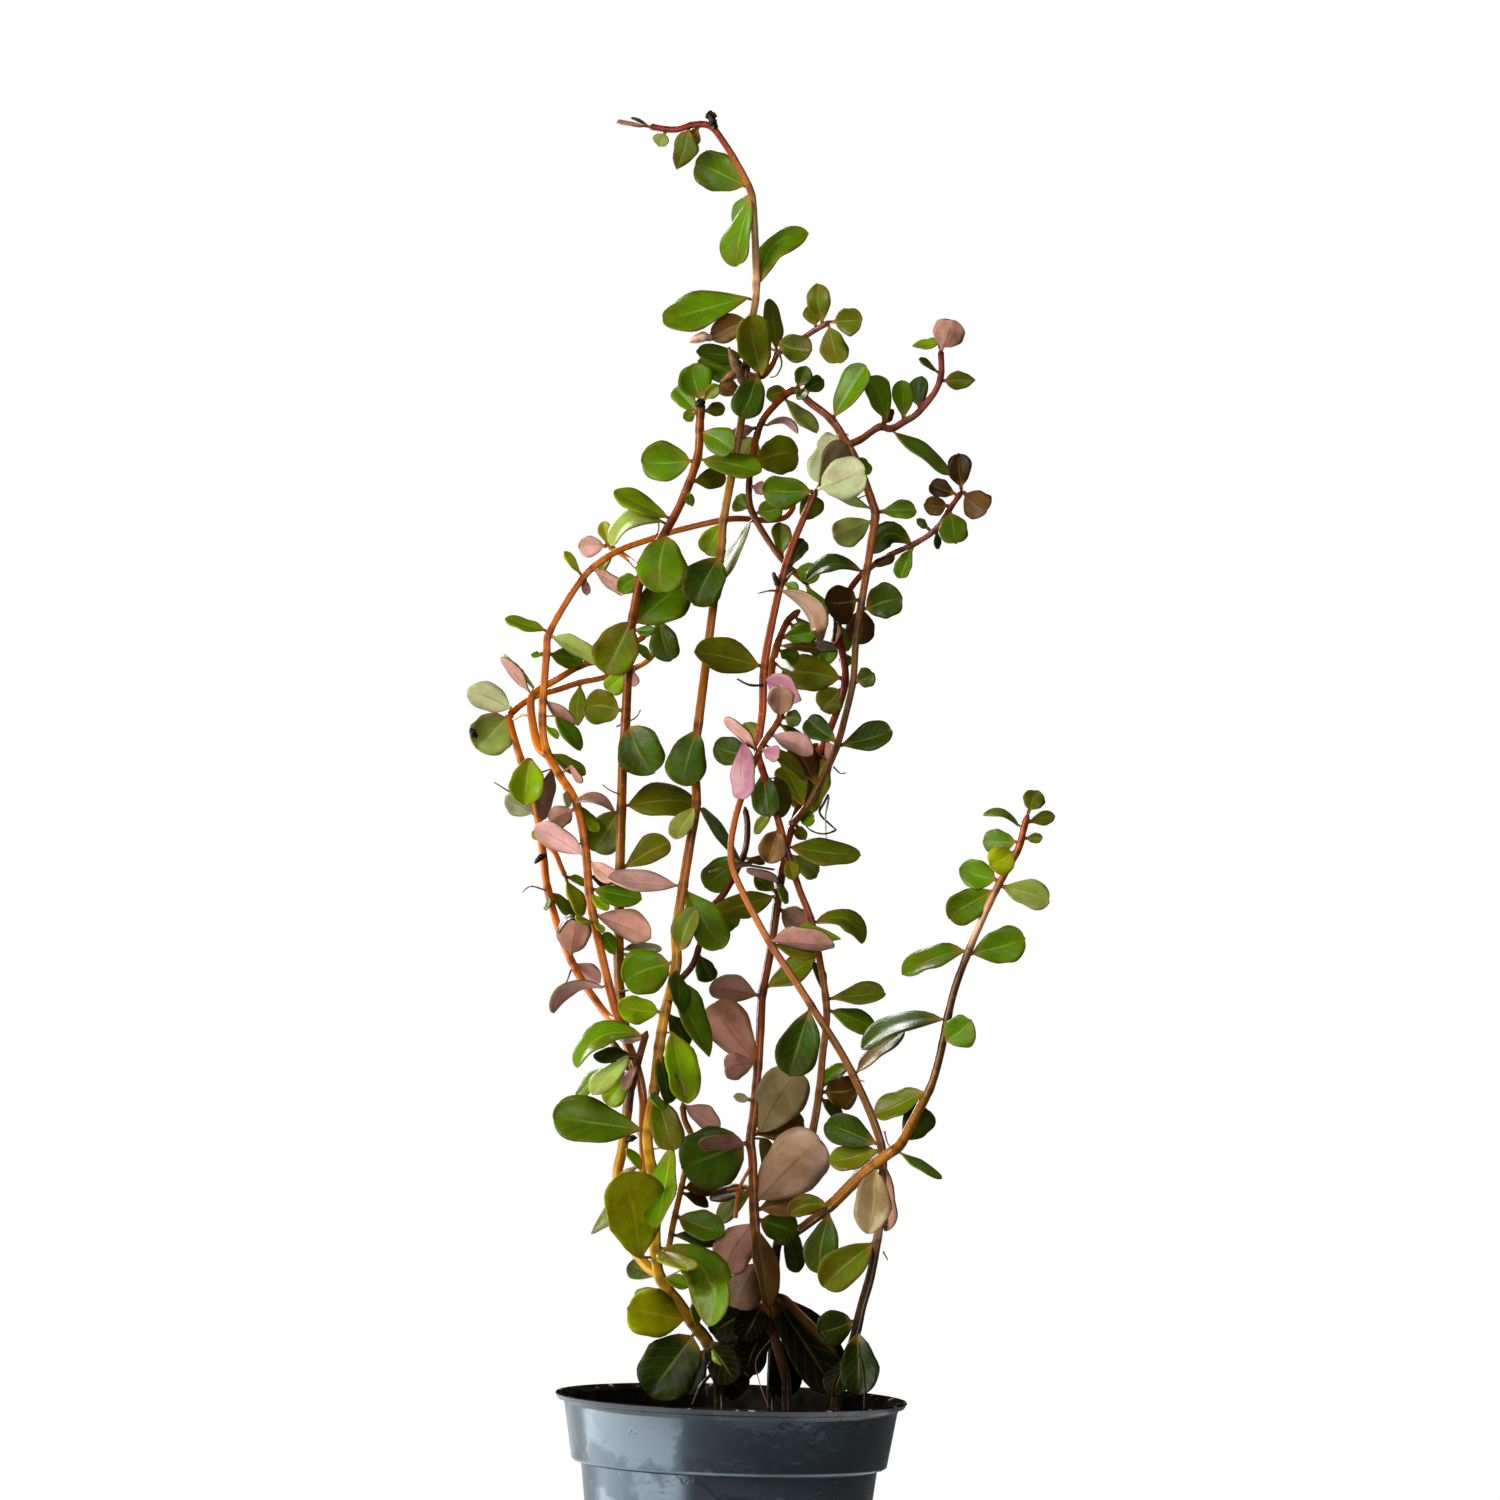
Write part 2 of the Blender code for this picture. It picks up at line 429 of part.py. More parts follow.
            (15.6, 168.8, 19.2, 171.2, 1, 1.6, "e", "brown"),
            (7.8, 134.3, 4.4, 140.6, 3, 4.2, "o", "olive"),
            (9.6, 137.4, 6, 143.4, 3, 3.6, "o", "brown"),
            (12.2, 143.8, 7.6, 147, 2.5, 3.4, "o", "dark"),
            (12.2, 186.2, 7.6, 186.2, 2.5, 3.4, "o", "pale"),
        ],
    },
    "right_side_shoot": {
        "radii": (0.6, 0.58, 0.42),
        "tone": "stem",
        "parent": "center_stem",
        "path": [
            (6, 132, 5), (6.7, 134.3, 6.4), (8, 139, 7.5), (10.2, 144, 8), (12.8, 152.5, 8), (11.6, 160, 8),
            (12, 163.5), (14.2, 167.5, 8), (18, 170.6, 7), (22.3, 172.8, 6), (25.2, 175, 5),
            (27.2, 178.2, 4),
            (28.7, 180.5, 4),
        ],
        "leaves": [
            (10.6, 141.6, 7.4, 133.6, -1, 4.8, "o", "olive"),
            (10.2, 144.3, 8.6, 146.4, 0, 2.2, "e", "dark"),
            (12.8, 153, 3.8, 153.7, 0, 5.2, "e", "olive"),
            (12.7, 152.2, 9.6, 148.7, -1, 4.2, "o", "olive"),
            (22.2, 173.2, 16.4, 171.2, -2, 3.6, "e", "dark", 2),
            (22, 172.6, 20, 167.8, 0, 2.4, "o", "green"),
            (24.6, 174.4, 22.4, 176.2, 0, 1.2, "e", "dark"),
            (25.2, 174.8, 25.6, 172, 1, 1, "e", "dark"),
            (27, 178.2, 23.5, 178.3, -1, 2.8, "o", "bronze"),
            (27, 177.8, 28, 172.9, -2, 4.2, "o", "green"),
            (28.2, 180, 24, 181.2, 1, 2.7, "o", "brown"),
            (28.8, 180.4, 32.3, 177.5, -1, 4.3, "ou", "bronze"),
            (28.7, 180.8, 28, 185.7, 0, 3.4, "o", "brown"),
            (6.6, 133.2, 8.9, 132.6, -2, 2.2, "o", "green"),
            (6, 132.4, 7.8, 129.9, -1, 1.8, "e", "olive"),
            (10.6, 144.2, 11.7, 141.2, -2, 1.8, "eu", "mauve"),
            (9.6, 144.4, 8.2, 142.2, 1, 1.8, "e", "brown"),
            (9, 142.2, 3.8, 140.8, 2, 2.8, "e", "olive"),
            (11.9, 161.6, 10.9, 158, -1, 1.2, "e", "mauve"),
            (11.9, 161, 13.2, 157, 1, 2, "e", "green"),
            (11.8, 159.4, 9.6, 155.2, -2, 2.4, "o", "green"),
            (12.4, 157.4, 13, 154.6, 1, 2, "o", "green"),
            (11, 143.6, 9.2, 136.6, 1.5, 3.4, "o", "brown"),
        ],
    },
    "upper_right_shoot": {
        "radii": (0.55, 0.45),
        "tone": "stem",
        "parent": "right_arch_stem",
        "path": [
            (12.1, 186.4, -1.2), (14, 187.3, -0.5), (15.5, 188.5, 0.5), (16.7, 189.2, 1), (18.2, 188.9),
            (20, 190, 2), (21.8, 191.2), (24.2, 194.3, 3), (25.1, 197, 3.5), (24.9, 200.6, 4),
        ],
        "leaves": [
            (16.7, 189.4, 18.5, 191.8, 1, 1.6, "p", "brown"),
            (17.5, 190.4, 15.3, 196.3, 0, 3.6, "o", "green"),
            (18, 188.8, 26.7, 182.7, -1, 2.3, "e", "green"),
            (19.8, 190.2, 19.4, 195.7, -1, 3, "o", "green"),
            (22, 191.6, 22.2, 196.6, 1, 3, "e", "dark"),
            (25, 195.8, 30.1, 196.3, 0, 2.7, "p", "olive"),
            (25, 197.2, 22, 199.2, -1, 0.9, "e", "olive"),
            (24.6, 201.4, 20.8, 201.1, 1, 1.6, "p", "lime"),
            (24.7, 200.2, 26.6, 204.7, -1, 4.6, "ou", "mauve"),
        ],
    },
    "top_small_shoot": {
        "radii": (0.5, 0.4),
        "tone": "stem",
        "parent": "tall_stem",
        "path": [
            (-2.8, 196, -1.2), (-0.5, 195.8, -0.5), (0.9, 197.5, 0.5), (1.6, 199.2, 1), (3.4, 200.1),
            (6.6, 202.5, 0), (9.1, 204, -1),
        ],
        "leaves": [
            (1.6, 199.4, 0.5, 207, 1, 2.6, "e", "olive"),
            (1.8, 200.6, 6.4, 199.8, -2, 4, "o", "olive"),
            (6.9, 202.7, 6.3, 206.4, 1, 2.6, "o", "olive"),
            (8, 203.4, 7.1, 209.3, 0, 3.4, "e", "olive"),
            (8.8, 203.6, 10.5, 198.3, -1, 4, "o", "olive"),
            (9.1, 204, 13.4, 204.4, -1, 3.9, "o", "olive"),
        ],
    },
    "inner_stem": {
        "radii": (0.8, 0.7, 0.55, 0.52, 0.62, 0.5),
        "tone": "stem",
        "path": [
            (5.7, 46.5, 4.6), (5.7, 60, 4.6), (5.6, 68, 4), (5.9, 72.2, 3), (7.2, 75), (8.3, 79, 1),
            (9.2, 84),
            (10.3, 88, -1.5), (11.1, 93.8, -3), (11.4, 99, -4), (11.8, 105.3, -5), (10.7, 112),
            (9.1, 118.5, -5), (7.4, 122.5), (5.4, 128, -4.5), (3, 135.5), (1.4, 139.8, -4), (0.7, 142.5),
            (1.2, 148), (1.3, 155, -4), (2.8, 164.3, -4.5), (4.2, 170.3), (6.5, 176.7, -5), (7.9, 180, -5),
        ],
        "leaves": [
            (7, 75, 9, 68.1, 2, 3.1, "e", "dark"),
            (11.2, 94, 16.4, 94.6, 0, 4.8, "o", "brown"),
            (11.1, 93.4, 14.6, 90.4, 1, 1.9, "e", "dark"),
            (11.3, 94.4, 14.5, 98.4, 1, 2.4, "e", "green"),
            (11.8, 105.6, 19.3, 103.4, 1, 3, "e", "green"),
            (11.7, 107.2, 19.9, 108.8, 0, 2.8, "o", "olive"),
            (11.4, 107.6, 9.9, 112.5, 2, 1.5, "e", "dark"),
            (9.2, 118.4, 17, 115.5, 0, 2.7, "e", "olive", 2),
            (5.6, 127.5, 6.3, 124.3, -2, 2.3, "e", "olive"),
            (5.8, 128, 9.9, 124.7, 1, 2.9, "o", "soft"),
            (5.3, 128.8, 15.9, 128.1, 0, 3.6, "e", "olive"),
            (4, 131.8, 2.8, 126.6, -1, 3.9, "o", "bronze"),
            (3.3, 134.2, 0.4, 130.7, 2, 1.6, "e", "olive"),
            (1.6, 139.8, 2.6, 133.1, -1.5, 4.2, "o", "dark"),
            (0.7, 142.8, -1.3, 146.3, 1, 3, "e", "olive"),
            (1.2, 152.6, 7, 149.8, 0, 3.8, "pu", "violet"),
            (1.3, 154.6, -8.7, 156.3, -3, 4.9, "e", "olive"),
            (3.2, 165.8, 8.9, 158.2, -2, 2.8, "eu", "ash", 1.7),
            (6.4, 179, 7.8, 175.8, 3, 3.6, "o", "olive"),
            (7.6, 179.8, 0.4, 179.6, -1, 4.7, "o", "green"),
            (7.9, 180.2, 14.8, 183, -1, 6, "ou", "pale"),
            (7.9, 180.4, 11.6, 186.5, 1, 3.6, "ou", "tan"),
            (3.4, 138.6, 5, 133, 2, 2.6, "e", "olive"),
            (5, 168.4, 2.2, 166.4, 2, 1.6, "e", "dark"),
            (3, 166.4, 5.6, 165.7, -1, 1.3, "e", "green"),
        ],
    },
    "right_branch": {
        "radii": (0.6, 0.88, 0.6, 0.55, 0.48),
        "tone": "stem",
        "parent": "inner_stem",
        "path": [
            (5.9, 72.2, 3), (8, 73.5, 1.5), (10, 75, -1), (13.4, 77.9, -5), (17.5, 82.2, -9.5),
            (21.3, 85.4, -13), (23, 86.9, -13), (25, 91), (26.8, 94.7, -12), (28, 99), (29.1, 105.3, -12),
            (30, 109.5), (31.7, 114.6), (33.2, 118.5), (35.7, 124.3, -12), (38.3, 129.4), (39.1, 132.8, -12),
            (39.6, 134.6, -12),
        ],
        "leaves": [
            (13, 78.8, 7.4, 76.3, -1, 3, "e", "olive", 0.6),
            (13.4, 77.4, 11.9, 68, -1, 5, "o", "dark"),
            (19.2, 84.4, 18.7, 74.2, -2, 5.2, "e", "tan"),
            (22.3, 86.2, 29, 82.2, -1, 1.2, "e", "green"),
            (23.6, 86.6, 27, 92, 3, 4.6, "o", "dark"),
            (26.5, 95, 18.8, 91.3, 1, 3.5, "e", "olive"),
            (28, 101.7, 32.4, 104.8, -3, 4.8, "o", "green"),
            (28.6, 105.6, 17, 100.2, 0, 2.8, "e", "dark", 1.5),
            (31.3, 115.4, 22.3, 111.3, 0, 3.1, "e", "green", 0.7),
            (31.9, 114.1, 39.7, 116.8, 0, 5.2, "o", "green"),
            (35.5, 123.6, 28.8, 119.4, 0, 4.7, "o", "green"),
            (35.8, 124.5, 43, 122.3, 0, 4, "o", "soft"),
            (35.8, 125.1, 30.2, 126.7, 1, 4, "e", "green"),
            (38.4, 129.5, 34.6, 127.2, -1.5, 4.2, "o", "yellow"),
            (38.6, 130.4, 33.2, 130.6, 1, 3.6, "o", "green"),
            (38.8, 131, 41.8, 131.3, 0, 1.5, "e", "olive"),
            (39.1, 133, 33.2, 134.3, 0, 1, "e", "green", 0.9),
            (39.2, 133.2, 43.4, 134.6, 1, 1.9, "e", "olive"),
            (39.6, 134.5, 40.7, 137.9, 0, 3.2, "o", "olive"),
        ],
    },
    "right_base_stem": {
        "radii": (0.8, 0.62, 0.5, 0.55),
        "tone": "stem",
        "path": [
            (14.4, 46.5, -6), (15.8, 53), (17.3, 59, -6.5), (18.2, 63.5), (19.4, 68.5, -7.5),
            (20.4, 76, -8.5),
            (20.3, 79), (20.5, 85, -9.5), (19, 90, -10), (16.1, 96), (13.8, 100, -10), (10.1, 105.4),
            (6.9, 110), (4, 114), (1.2, 118.5), (-1.9, 124.4, -10), (-2.7, 128), (-2.3, 132),
            (-1.4, 135.6, -9.5), (0, 140), (1.5, 143.5, -9), (3.6, 146.9, -8), (3.8, 148.8, -5),
            (2.9, 151, -1), (2.3, 153.5, 0), (2.7, 156.5), (3.4, 159, 1), (4.5, 161.3, 2), (6.1, 162.6, 2),
        ],
        "leaves": [
            (16.2, 57.2, 14.6, 50.5, -2, 3.2, "o", "night"),
            (17.8, 60.6, 18.2, 51.2, -1, 5.4, "o", "deep"),
            (17.6, 61.8, 12.2, 59.6, 0, 5, "o", "deep"),
            (19.9, 73, 12.6, 66.2, -1, 5.4, "o", "olive"),
            (20.8, 84.8, 21.5, 74.5, 2, 2.4, "eu", "mauve"),
            (20.3, 86, 15.6, 81.2, 1, 1.6, "e", "dark"),
            (20.2, 86, 12.8, 84, 1, 3.5, "e", "olive"),
            (20.1, 86.4, 12.2, 89.4, 0, 4.6, "o", "dark"),
            (16.2, 96.8, 22.8, 103.2, 1, 2.4, "e", "tan"),
            (9.2, 105.8, 6.8, 96.2, -2, 6, "o", "dark"),
            (3.6, 114.8, 10, 113.5, 0, 2.4, "e", "olive"),
            (3.2, 115.3, 12.6, 115.6, -1, 3.6, "eu", "mauve"),
            (7.6, 117.2, 13.5, 116, 2, 1.6, "p", "lime"),
            (-1.3, 143.3, -1.1, 135.4, -2.5, 3.5, "ou", "violet"),
            (0.3, 141.4, -5.5, 142.8, 0, 4, "o", "dark"),
            (0.6, 142.6, -3.9, 147.2, -1, 1.9, "eu", "pink"),
            (1.2, 142.6, 4, 141.4, -2, 2.4, "ou", "violet"),
            (1.6, 143.6, 7.9, 138.8, 0, 1.8, "e", "olive"),
            (2.2, 144.8, 8.6, 142.3, 0, 3, "eu", "pink"),
            (3.4, 146.6, 8.3, 143, 1, 1.6, "e", "olive"),
            (3.8, 147, 6.5, 147, -1, 2.4, "o", "dark"),
            (3.7, 147, 3.6, 151.6, -2.5, 3.8, "o", "mauve"),
            (4.5, 161, 7.5, 158.5, 0, 3, "o", "green"),
            (2.8, 157, 6, 155.4, 1, 2.4, "o", "green"),
            (5.4, 162.2, 9.4, 156.6, 1, 2.4, "e", "green"),
            (2.5, 155, 5.5, 154.2, 2, 1.5, "e", "pale"),
            (3.4, 158.6, 8.2, 159.6, 1, 3, "o", "green"),
            (3, 157.4, 11.6, 157.4, 2, 1.6, "e", "brown"),
        ],
    },
}


def clear_scene():
    for thing in list(bpy.data.objects):
        bpy.data.objects.remove(thing, do_unlink=True)


def linear(value):
    if value <= 0.04045:
        return value / 12.92
    return ((value + 0.055) / 1.055) ** 2.4


def make_material(name, colour, roughness):
    material = bpy.data.materials.new(name)
    material.use_nodes = True
    shader = material.node_tree.nodes["Principled BSDF"]
    shader.inputs["Base Color"].default_value = (*[linear(part) for part in colour], 1.0)
    shader.inputs["Roughness"].default_value = roughness
    shader.inputs["Metallic"].default_value = 0.0
    return material


def finish(bm, name, materials):
    for vert in bm.verts:
        vert.co *= 0.001
    mesh = bpy.data.meshes.new(name)
    bm.to_mesh(mesh)
    bm.free()
    made = bpy.data.objects.new(name, mesh)
    bpy.context.scene.collection.objects.link(made)
    for material in materials:
        mesh.materials.append(material)
    mesh.shade_smooth()
    mesh.set_sharp_from_angle(angle=math.radians(40))
    return made


def turned(name, outline, segments, material):
    bm = bmesh.new()
    rim = [bm.verts.new((radius, 0, z)) for radius, z in outline]
    edges = [bm.edges.new(pair) for pair in zip(rim, rim[1:])]
    bmesh.ops.spin(
        bm, geom=rim + edges, cent=(0, 0, 0), axis=(0, 0, 1), angle=math.tau, steps=segments, use_merge=True
    )
    bmesh.ops.remove_doubles(bm, verts=bm.verts, dist=0.001)
    bmesh.ops.recalc_face_normals(bm, faces=bm.faces)
    return finish(bm, name, [material])


def make_pot(material):
    body_slope = (BODY_TOP_RADIUS - POT_FOOT_RADIUS) / (COLLAR_FOOT_Z - 0.4)
    inner_foot = POT_FOOT_RADIUS - POT_WALL
    step_z = COLLAR_FOOT_Z - 0.4
    outline = [
        (0, 0),
        (POT_FOOT_RADIUS - 0.6, 0),
        (POT_FOOT_RADIUS, 0.6),
        (POT_FOOT_RADIUS + body_slope * step_z, step_z),
        (COLLAR_FOOT_RADIUS, COLLAR_FOOT_Z),
        (COLLAR_TOP_RADIUS, POT_HEIGHT - 1.0),
        (FLANGE_RADIUS, POT_HEIGHT - FLANGE_THICK),
        (FLANGE_RADIUS, POT_HEIGHT),
        (COLLAR_TOP_RADIUS, POT_HEIGHT - 0.25),
        (COLLAR_TOP_RADIUS - POT_WALL, POT_HEIGHT - 0.9),
        (COLLAR_FOOT_RADIUS - POT_WALL, COLLAR_FOOT_Z + 0.3),
        (BODY_TOP_RADIUS - POT_WALL, step_z - 0.3),
        (inner_foot, POT_WALL),
        (0, POT_WALL),
    ]
    return turned("pot", outline, POT_SEGMENTS, material)


def make_medium(material):
    step_z = COLLAR_FOOT_Z - 0.4
    wall = POT_WALL + GAP
    slope = (COLLAR_TOP_RADIUS - COLLAR_FOOT_RADIUS) / (POT_HEIGHT - 1.0 - COLLAR_FOOT_Z)
    top_radius = COLLAR_FOOT_RADIUS - wall - 0.1 + slope * (MEDIUM_TOP - 1.2 - COLLAR_FOOT_Z)
    outline = [
        (0, POT_WALL + GAP),
        (POT_FOOT_RADIUS - wall - 0.2, POT_WALL + GAP),
        (BODY_TOP_RADIUS - wall - 0.15, step_z - 0.6),
        (COLLAR_FOOT_RADIUS - wall - 0.25, COLLAR_FOOT_Z + 0.4),
        (top_radius, MEDIUM_TOP - 1.2),
        (top_radius - 1.6, MEDIUM_TOP - 0.25),
        (0, MEDIUM_TOP),
    ]
    return turned("growing_medium", outline, 24, material)


def seen(across, up, depth):
    far = (SEE_FROM + depth) / SEE_FROM
    return Vector((MIDDLE_X + (across - MIDDLE_X) * far, depth, MIDDLE_Z + (up - MIDDLE_Z) * far))


def as_seen(point):
    near = SEE_FROM / (SEE_FROM + point.y)
    return MIDDLE_X + (point.x - MIDDLE_X) * near, MIDDLE_Z + (point.z - MIDDLE_Z) * near


def fill_depths(path):
    known = [index for index, point in enumerate(path) if len(point) == 3]
    filled = []
    for index, point in enumerate(path):
        before = max(k for k in known if k <= index)
        after = min(k for k in known if k >= index)
        share = 0 if after == before else (index - before) / (after - before)
        depth = path[before][2] + (path[after][2] - path[before][2]) * share
        filled.append(seen(point[0], point[1], depth * DEPTH_SCALE))
    return filled


def smooth_line(path):
    points = fill_depths(path)
    points = [points[0] * 2 - points[1], *points, points[-1] * 2 - points[-2]]
    line = []
    for a, b, c, d in zip(points, points[1:], points[2:], points[3:]):
        steps = max(2, round((c - b).length / 0.5))
        for step in range(steps):
            t = step / steps
            line.append(
                0.5 * (2 * b + (c - a) * t + (2 * a - 5 * b + 4 * c - d) * t * t
                       + (3 * b - a - 3 * c + d) * t * t * t)
            )
    line.append(points[-2])
    return line


class Stem:
    def __init__(self, name, plan):
        self.name = name
        self.line = smooth_line(plan["path"])
        if "parent" not in plan:
            root = MEDIUM_TOP + GAP
            while self.line[1].z < root:
                self.line.pop(0)
            low, high = self.line[:2]
            self.line[0] = low.lerp(high, (root - low.z) / (high.z - low.z))
        self.along = [0.0]
        for a, b in zip(self.line, self.line[1:]):
            self.along.append(self.along[-1] + (b - a).length)
        self.length = self.along[-1]
        self.radii = plan["radii"]

    def radius(self, along):
        place = along / self.length * (len(self.radii) - 1)
        index = min(int(place), len(self.radii) - 2)
        return self.radii[index] + (self.radii[index + 1] - self.radii[index]) * (place - index)

    def point(self, along):
        for index in range(len(self.line) - 1):
            if self.along[index + 1] >= along:
                break
        span = self.along[index + 1] - self.along[index]
        return self.line[index].lerp(self.line[index + 1], (along - self.along[index]) / span)

    def heading(self, along):
        ahead = self.point(min(along + 0.4, self.length))
        behind = self.point(max(along - 0.4, 0))
        return (ahead - behind).normalized()

    def nearest(self, across, up):
        best = min(
            range(len(self.line)),
            key=lambda index: math.hypot(
                as_seen(self.line[index])[0] - across, as_seen(self.line[index])[1] - up
            ),
        )
        return self.along[best]

    def room(self, point):
        index = min(range(len(self.line)), key=lambda k: (self.line[k] - point).length)
        return (self.line[index] - point).length - self.radius(self.along[index])


def leaf_plan(stem, row, swing):
    across, up, tip_across, tip_up, depth, wide, form, tone = row[:8]
    bow = row[8] if len(row) > 8 else 0
    depth = depth * DEPTH_SCALE + swing
    along = min(max(stem.nearest(across, up), NODE_HALF), stem.length - 0.2)
    foot = stem.point(along)
    tip = seen(tip_across, tip_up, foot.y + depth)
    base = seen(across, up, foot.y + 0.15 * depth)
    least = stem.radius(along) + 0.4
    if (base - foot).length < least:
        base = foot + (tip - foot).normalized() * least
    chord = tip - base
    lift = Vector((-chord.z, 0, chord.x)).normalized()
    if lift.z < 0:
        lift.negate()
    real = min(max(LEAF_RATIO * chord.length, wide), BROADEST_LEAF)
    return {
        "along": along,
        "foot": foot,
        "base": base,
        "chord": chord,
        "lift": lift * bow * 4,
        "real": real,
        "turn": math.acos(min(1, wide / real)),
        "under": "u" in form,
        "form": form[0],
        "tone": tone,
    }


def leaf_station(leaf, share):
    # The middle of the leaf at this share of its length, its way on, its side and its upper face.
    middle = leaf["base"] + leaf["chord"] * share + leaf["lift"] * share * (1 - share)
    heading = (leaf["chord"] + leaf["lift"] * (1 - 2 * share)).normalized()
    facing = Vector((0, -1, 0)) if abs(heading.y) < 0.93 else Vector((0, 0, 1))
    facing = (facing - heading * facing.dot(heading)).normalized()
    tilt = facing.cross(heading) * math.sin(leaf["turn"])
    inward = leaf["foot"] - middle
    upward = tilt.z + 0.3 * tilt.dot(inward) / max(1, inward.length)
    if (upward < 0) != leaf["under"]:
        tilt.negate()
    facing = facing * math.cos(leaf["turn"]) + tilt
    top = -facing if leaf["under"] else facing
    return middle, heading, top.cross(heading), top


def leaf_stations(leaf):
    shares = (0, 0.36, 0.74, 1) if leaf["real"] >= BROAD_LEAF else (0, 0.55, 1)
    parts = LEAF_FORMS[leaf["form"]]
    if len(shares) == 3:
        parts = (1.0, parts[2])
    widths = [STALK_WIDE, *[leaf["real"] * part for part in parts]]
    stations = []
    for share, width in zip(shares, widths):
        middle, heading, side, top = leaf_station(leaf, share)
        keel = KEEL if 0 < share < 1 else KEEL * 0.6
        stations.append((middle, side * (width / 2), top * keel))
    return stations


def corners(station, spare=0.0):
    middle, side, top = station
    out = side.normalized() * spare
    raised = top.normalized() * spare
    return [middle + side + out + raised, middle - side - out + raised, middle - top - raised]


def touch_tree(stations, spare):
    rows = [corners(station, spare) for station in stations]
    points = [point for row in rows for point in row]
    faces = [(0, 1, 2)]
    for row in range(len(rows) - 1):
        for k in range(3):
            a = row * 3 + k
            b = row * 3 + (k + 1) % 3
            faces.append((a, b, b + 3))
            faces.append((a, b + 3, a + 3))
    last = len(points) - 3
    faces.append((last, last + 1, last + 2))
    low = Vector([min(point[axis] for point in points) for axis in range(3)])
    high = Vector([max(point[axis] for point in points) for axis in range(3)])
    return BVHTree.FromPolygons(points, faces), low, high


def apart(first, second):
    for axis in range(3):
        if first[1][axis] > second[2][axis] or second[1][axis] > first[2][axis]:
            return True
    return not first[0].overlap(second[0])


def stem_tree(bm):
    low = Vector([min(vert.co[axis] for vert in bm.verts) for axis in range(3)])
    high = Vector([max(vert.co[axis] for vert in bm.verts) for axis in range(3)])
    return BVHTree.FromBMesh(bm), low, high


def settle(stem, row, placed):
    # A leaf swings forward or back from the depth it is given until it clears all that grew before it.
    lean = -1 if row[4] < 0 else 1
    for swing in SWINGS:
        leaf = leaf_plan(stem, row, swing * lean)
        clear = touch_tree(leaf_stations(leaf), GAP)
        if all(apart(clear, other) for other in placed):
            break
    else:
        leaf = leaf_plan(stem, row, 0)
    placed.append(touch_tree(leaf_stations(leaf), 0.0))
    return leaf


def ring_places(stem, alongs, start):
    groups = []
    for along in sorted(alongs):
        if groups and along - groups[-1][0] < 1.8:
            groups[-1][1] = along
        else:
            groups.append([along, along])
    places = [start]
    for low, high in groups:
        for place in (low - NODE_HALF, high + NODE_HALF):
            if place > places[-1] + 0.45 and place < stem.length - 0.45:
                places.append(place)
    places.append(stem.length)
    filled = [places[0]]
    for place in places[1:]:
        parts = math.ceil((place - filled[-1]) / LONGEST_SEGMENT)
        first = filled[-1]
        for part in range(1, parts + 1):
            filled.append(first + (place - first) * part / parts)
    return filled


def ring_points(stem, along, across, radius, sides):
    heading = stem.heading(along)
    across = (across - heading * across.dot(heading)).normalized()
    other = heading.cross(across)
    centre = stem.point(along)
    ring = []
    for index in range(sides):
        angle = math.tau * index / sides
        ring.append(centre + (across * math.cos(angle) + other * math.sin(angle)) * radius)
    return ring, across


def grow_tube(stem, places, parent):
    sides = 5 if stem.radii[0] >= THICK_STEM else 4
    across = Vector((1, 0, 0.1))
    bm = bmesh.new()
    bmesh.ops.create_cone(
        bm, cap_ends=True, cap_tris=False, segments=sides, radius1=1, radius2=1, depth=2
    )
    top = max(bm.faces, key=lambda face: face.calc_center_median().z)
    bottom = min(bm.faces, key=lambda face: face.calc_center_median().z)

    def radius_at(along):
        radius = stem.radius(along)
        if parent:
            radius = min(radius, max(0.2, parent.room(stem.point(along)) - GAP))
        if along == stem.length:
            radius *= 0.6
        return radius

    ring, across = ring_points(stem, places[0], across, radius_at(places[0]), sides)
    for vert in bottom.verts:
        angle = math.atan2(vert.co.y, vert.co.x)
        vert.co = ring[round(angle / math.tau * sides) % sides]
    start = [(math.atan2(vert.co.y, vert.co.x), vert) for vert in top.verts]
    ring, across = ring_points(stem, places[1], across, radius_at(places[1]), sides)
    for angle, vert in start:
        vert.co = ring[round(angle / math.tau * sides) % sides]
    for place in places[2:]:
        top = bmesh.ops.extrude_discrete_faces(bm, faces=[top])["faces"][0]
        was = ring
        ring, across = ring_points(stem, place, across, radius_at(place), sides)
        for vert in top.verts:
            index = min(range(sides), key=lambda k: (was[k] - vert.co).length)
            vert.co = ring[index]
    walls = [face for face in bm.faces if face not in (top, bottom)]
    bmesh.ops.triangulate(bm, faces=walls)
    return bm, [face for face in bm.faces if len(face.verts) == 3]


def grow_leaf(bm, free, leaf, slot):
    stations = leaf_stations(leaf)
    away = (stations[1][0] - leaf["foot"]).normalized()
    target = stations[0][0]
    best = min(
        free,
        key=lambda face: (face.calc_center_median() - target).length
        - 0.6 * face.normal.dot(away)
        + 0.5 * face.calc_area(),
    )
    free.remove(best)
    face = best
    for station in stations:
        face = bmesh.ops.extrude_discrete_faces(bm, faces=[face])["faces"][0]
        goal = corners(station)
        verts = list(face.verts)
        shift = min(
            range(3),
            key=lambda k: sum((verts[i].co - goal[(i + k) % 3]).length_squared for i in range(3)),
        )
        for i, vert in enumerate(verts):
            vert.co = goal[(i + shift) % 3]
        for near in {linked for vert in verts for linked in vert.link_faces}:
            near.material_index = slot


def start_of(stem, parent):
    if not parent:
        return 0.0
    along = 0.0
    while parent.room(stem.point(along)) < GAP + 0.3:
        along += 0.1
    return along


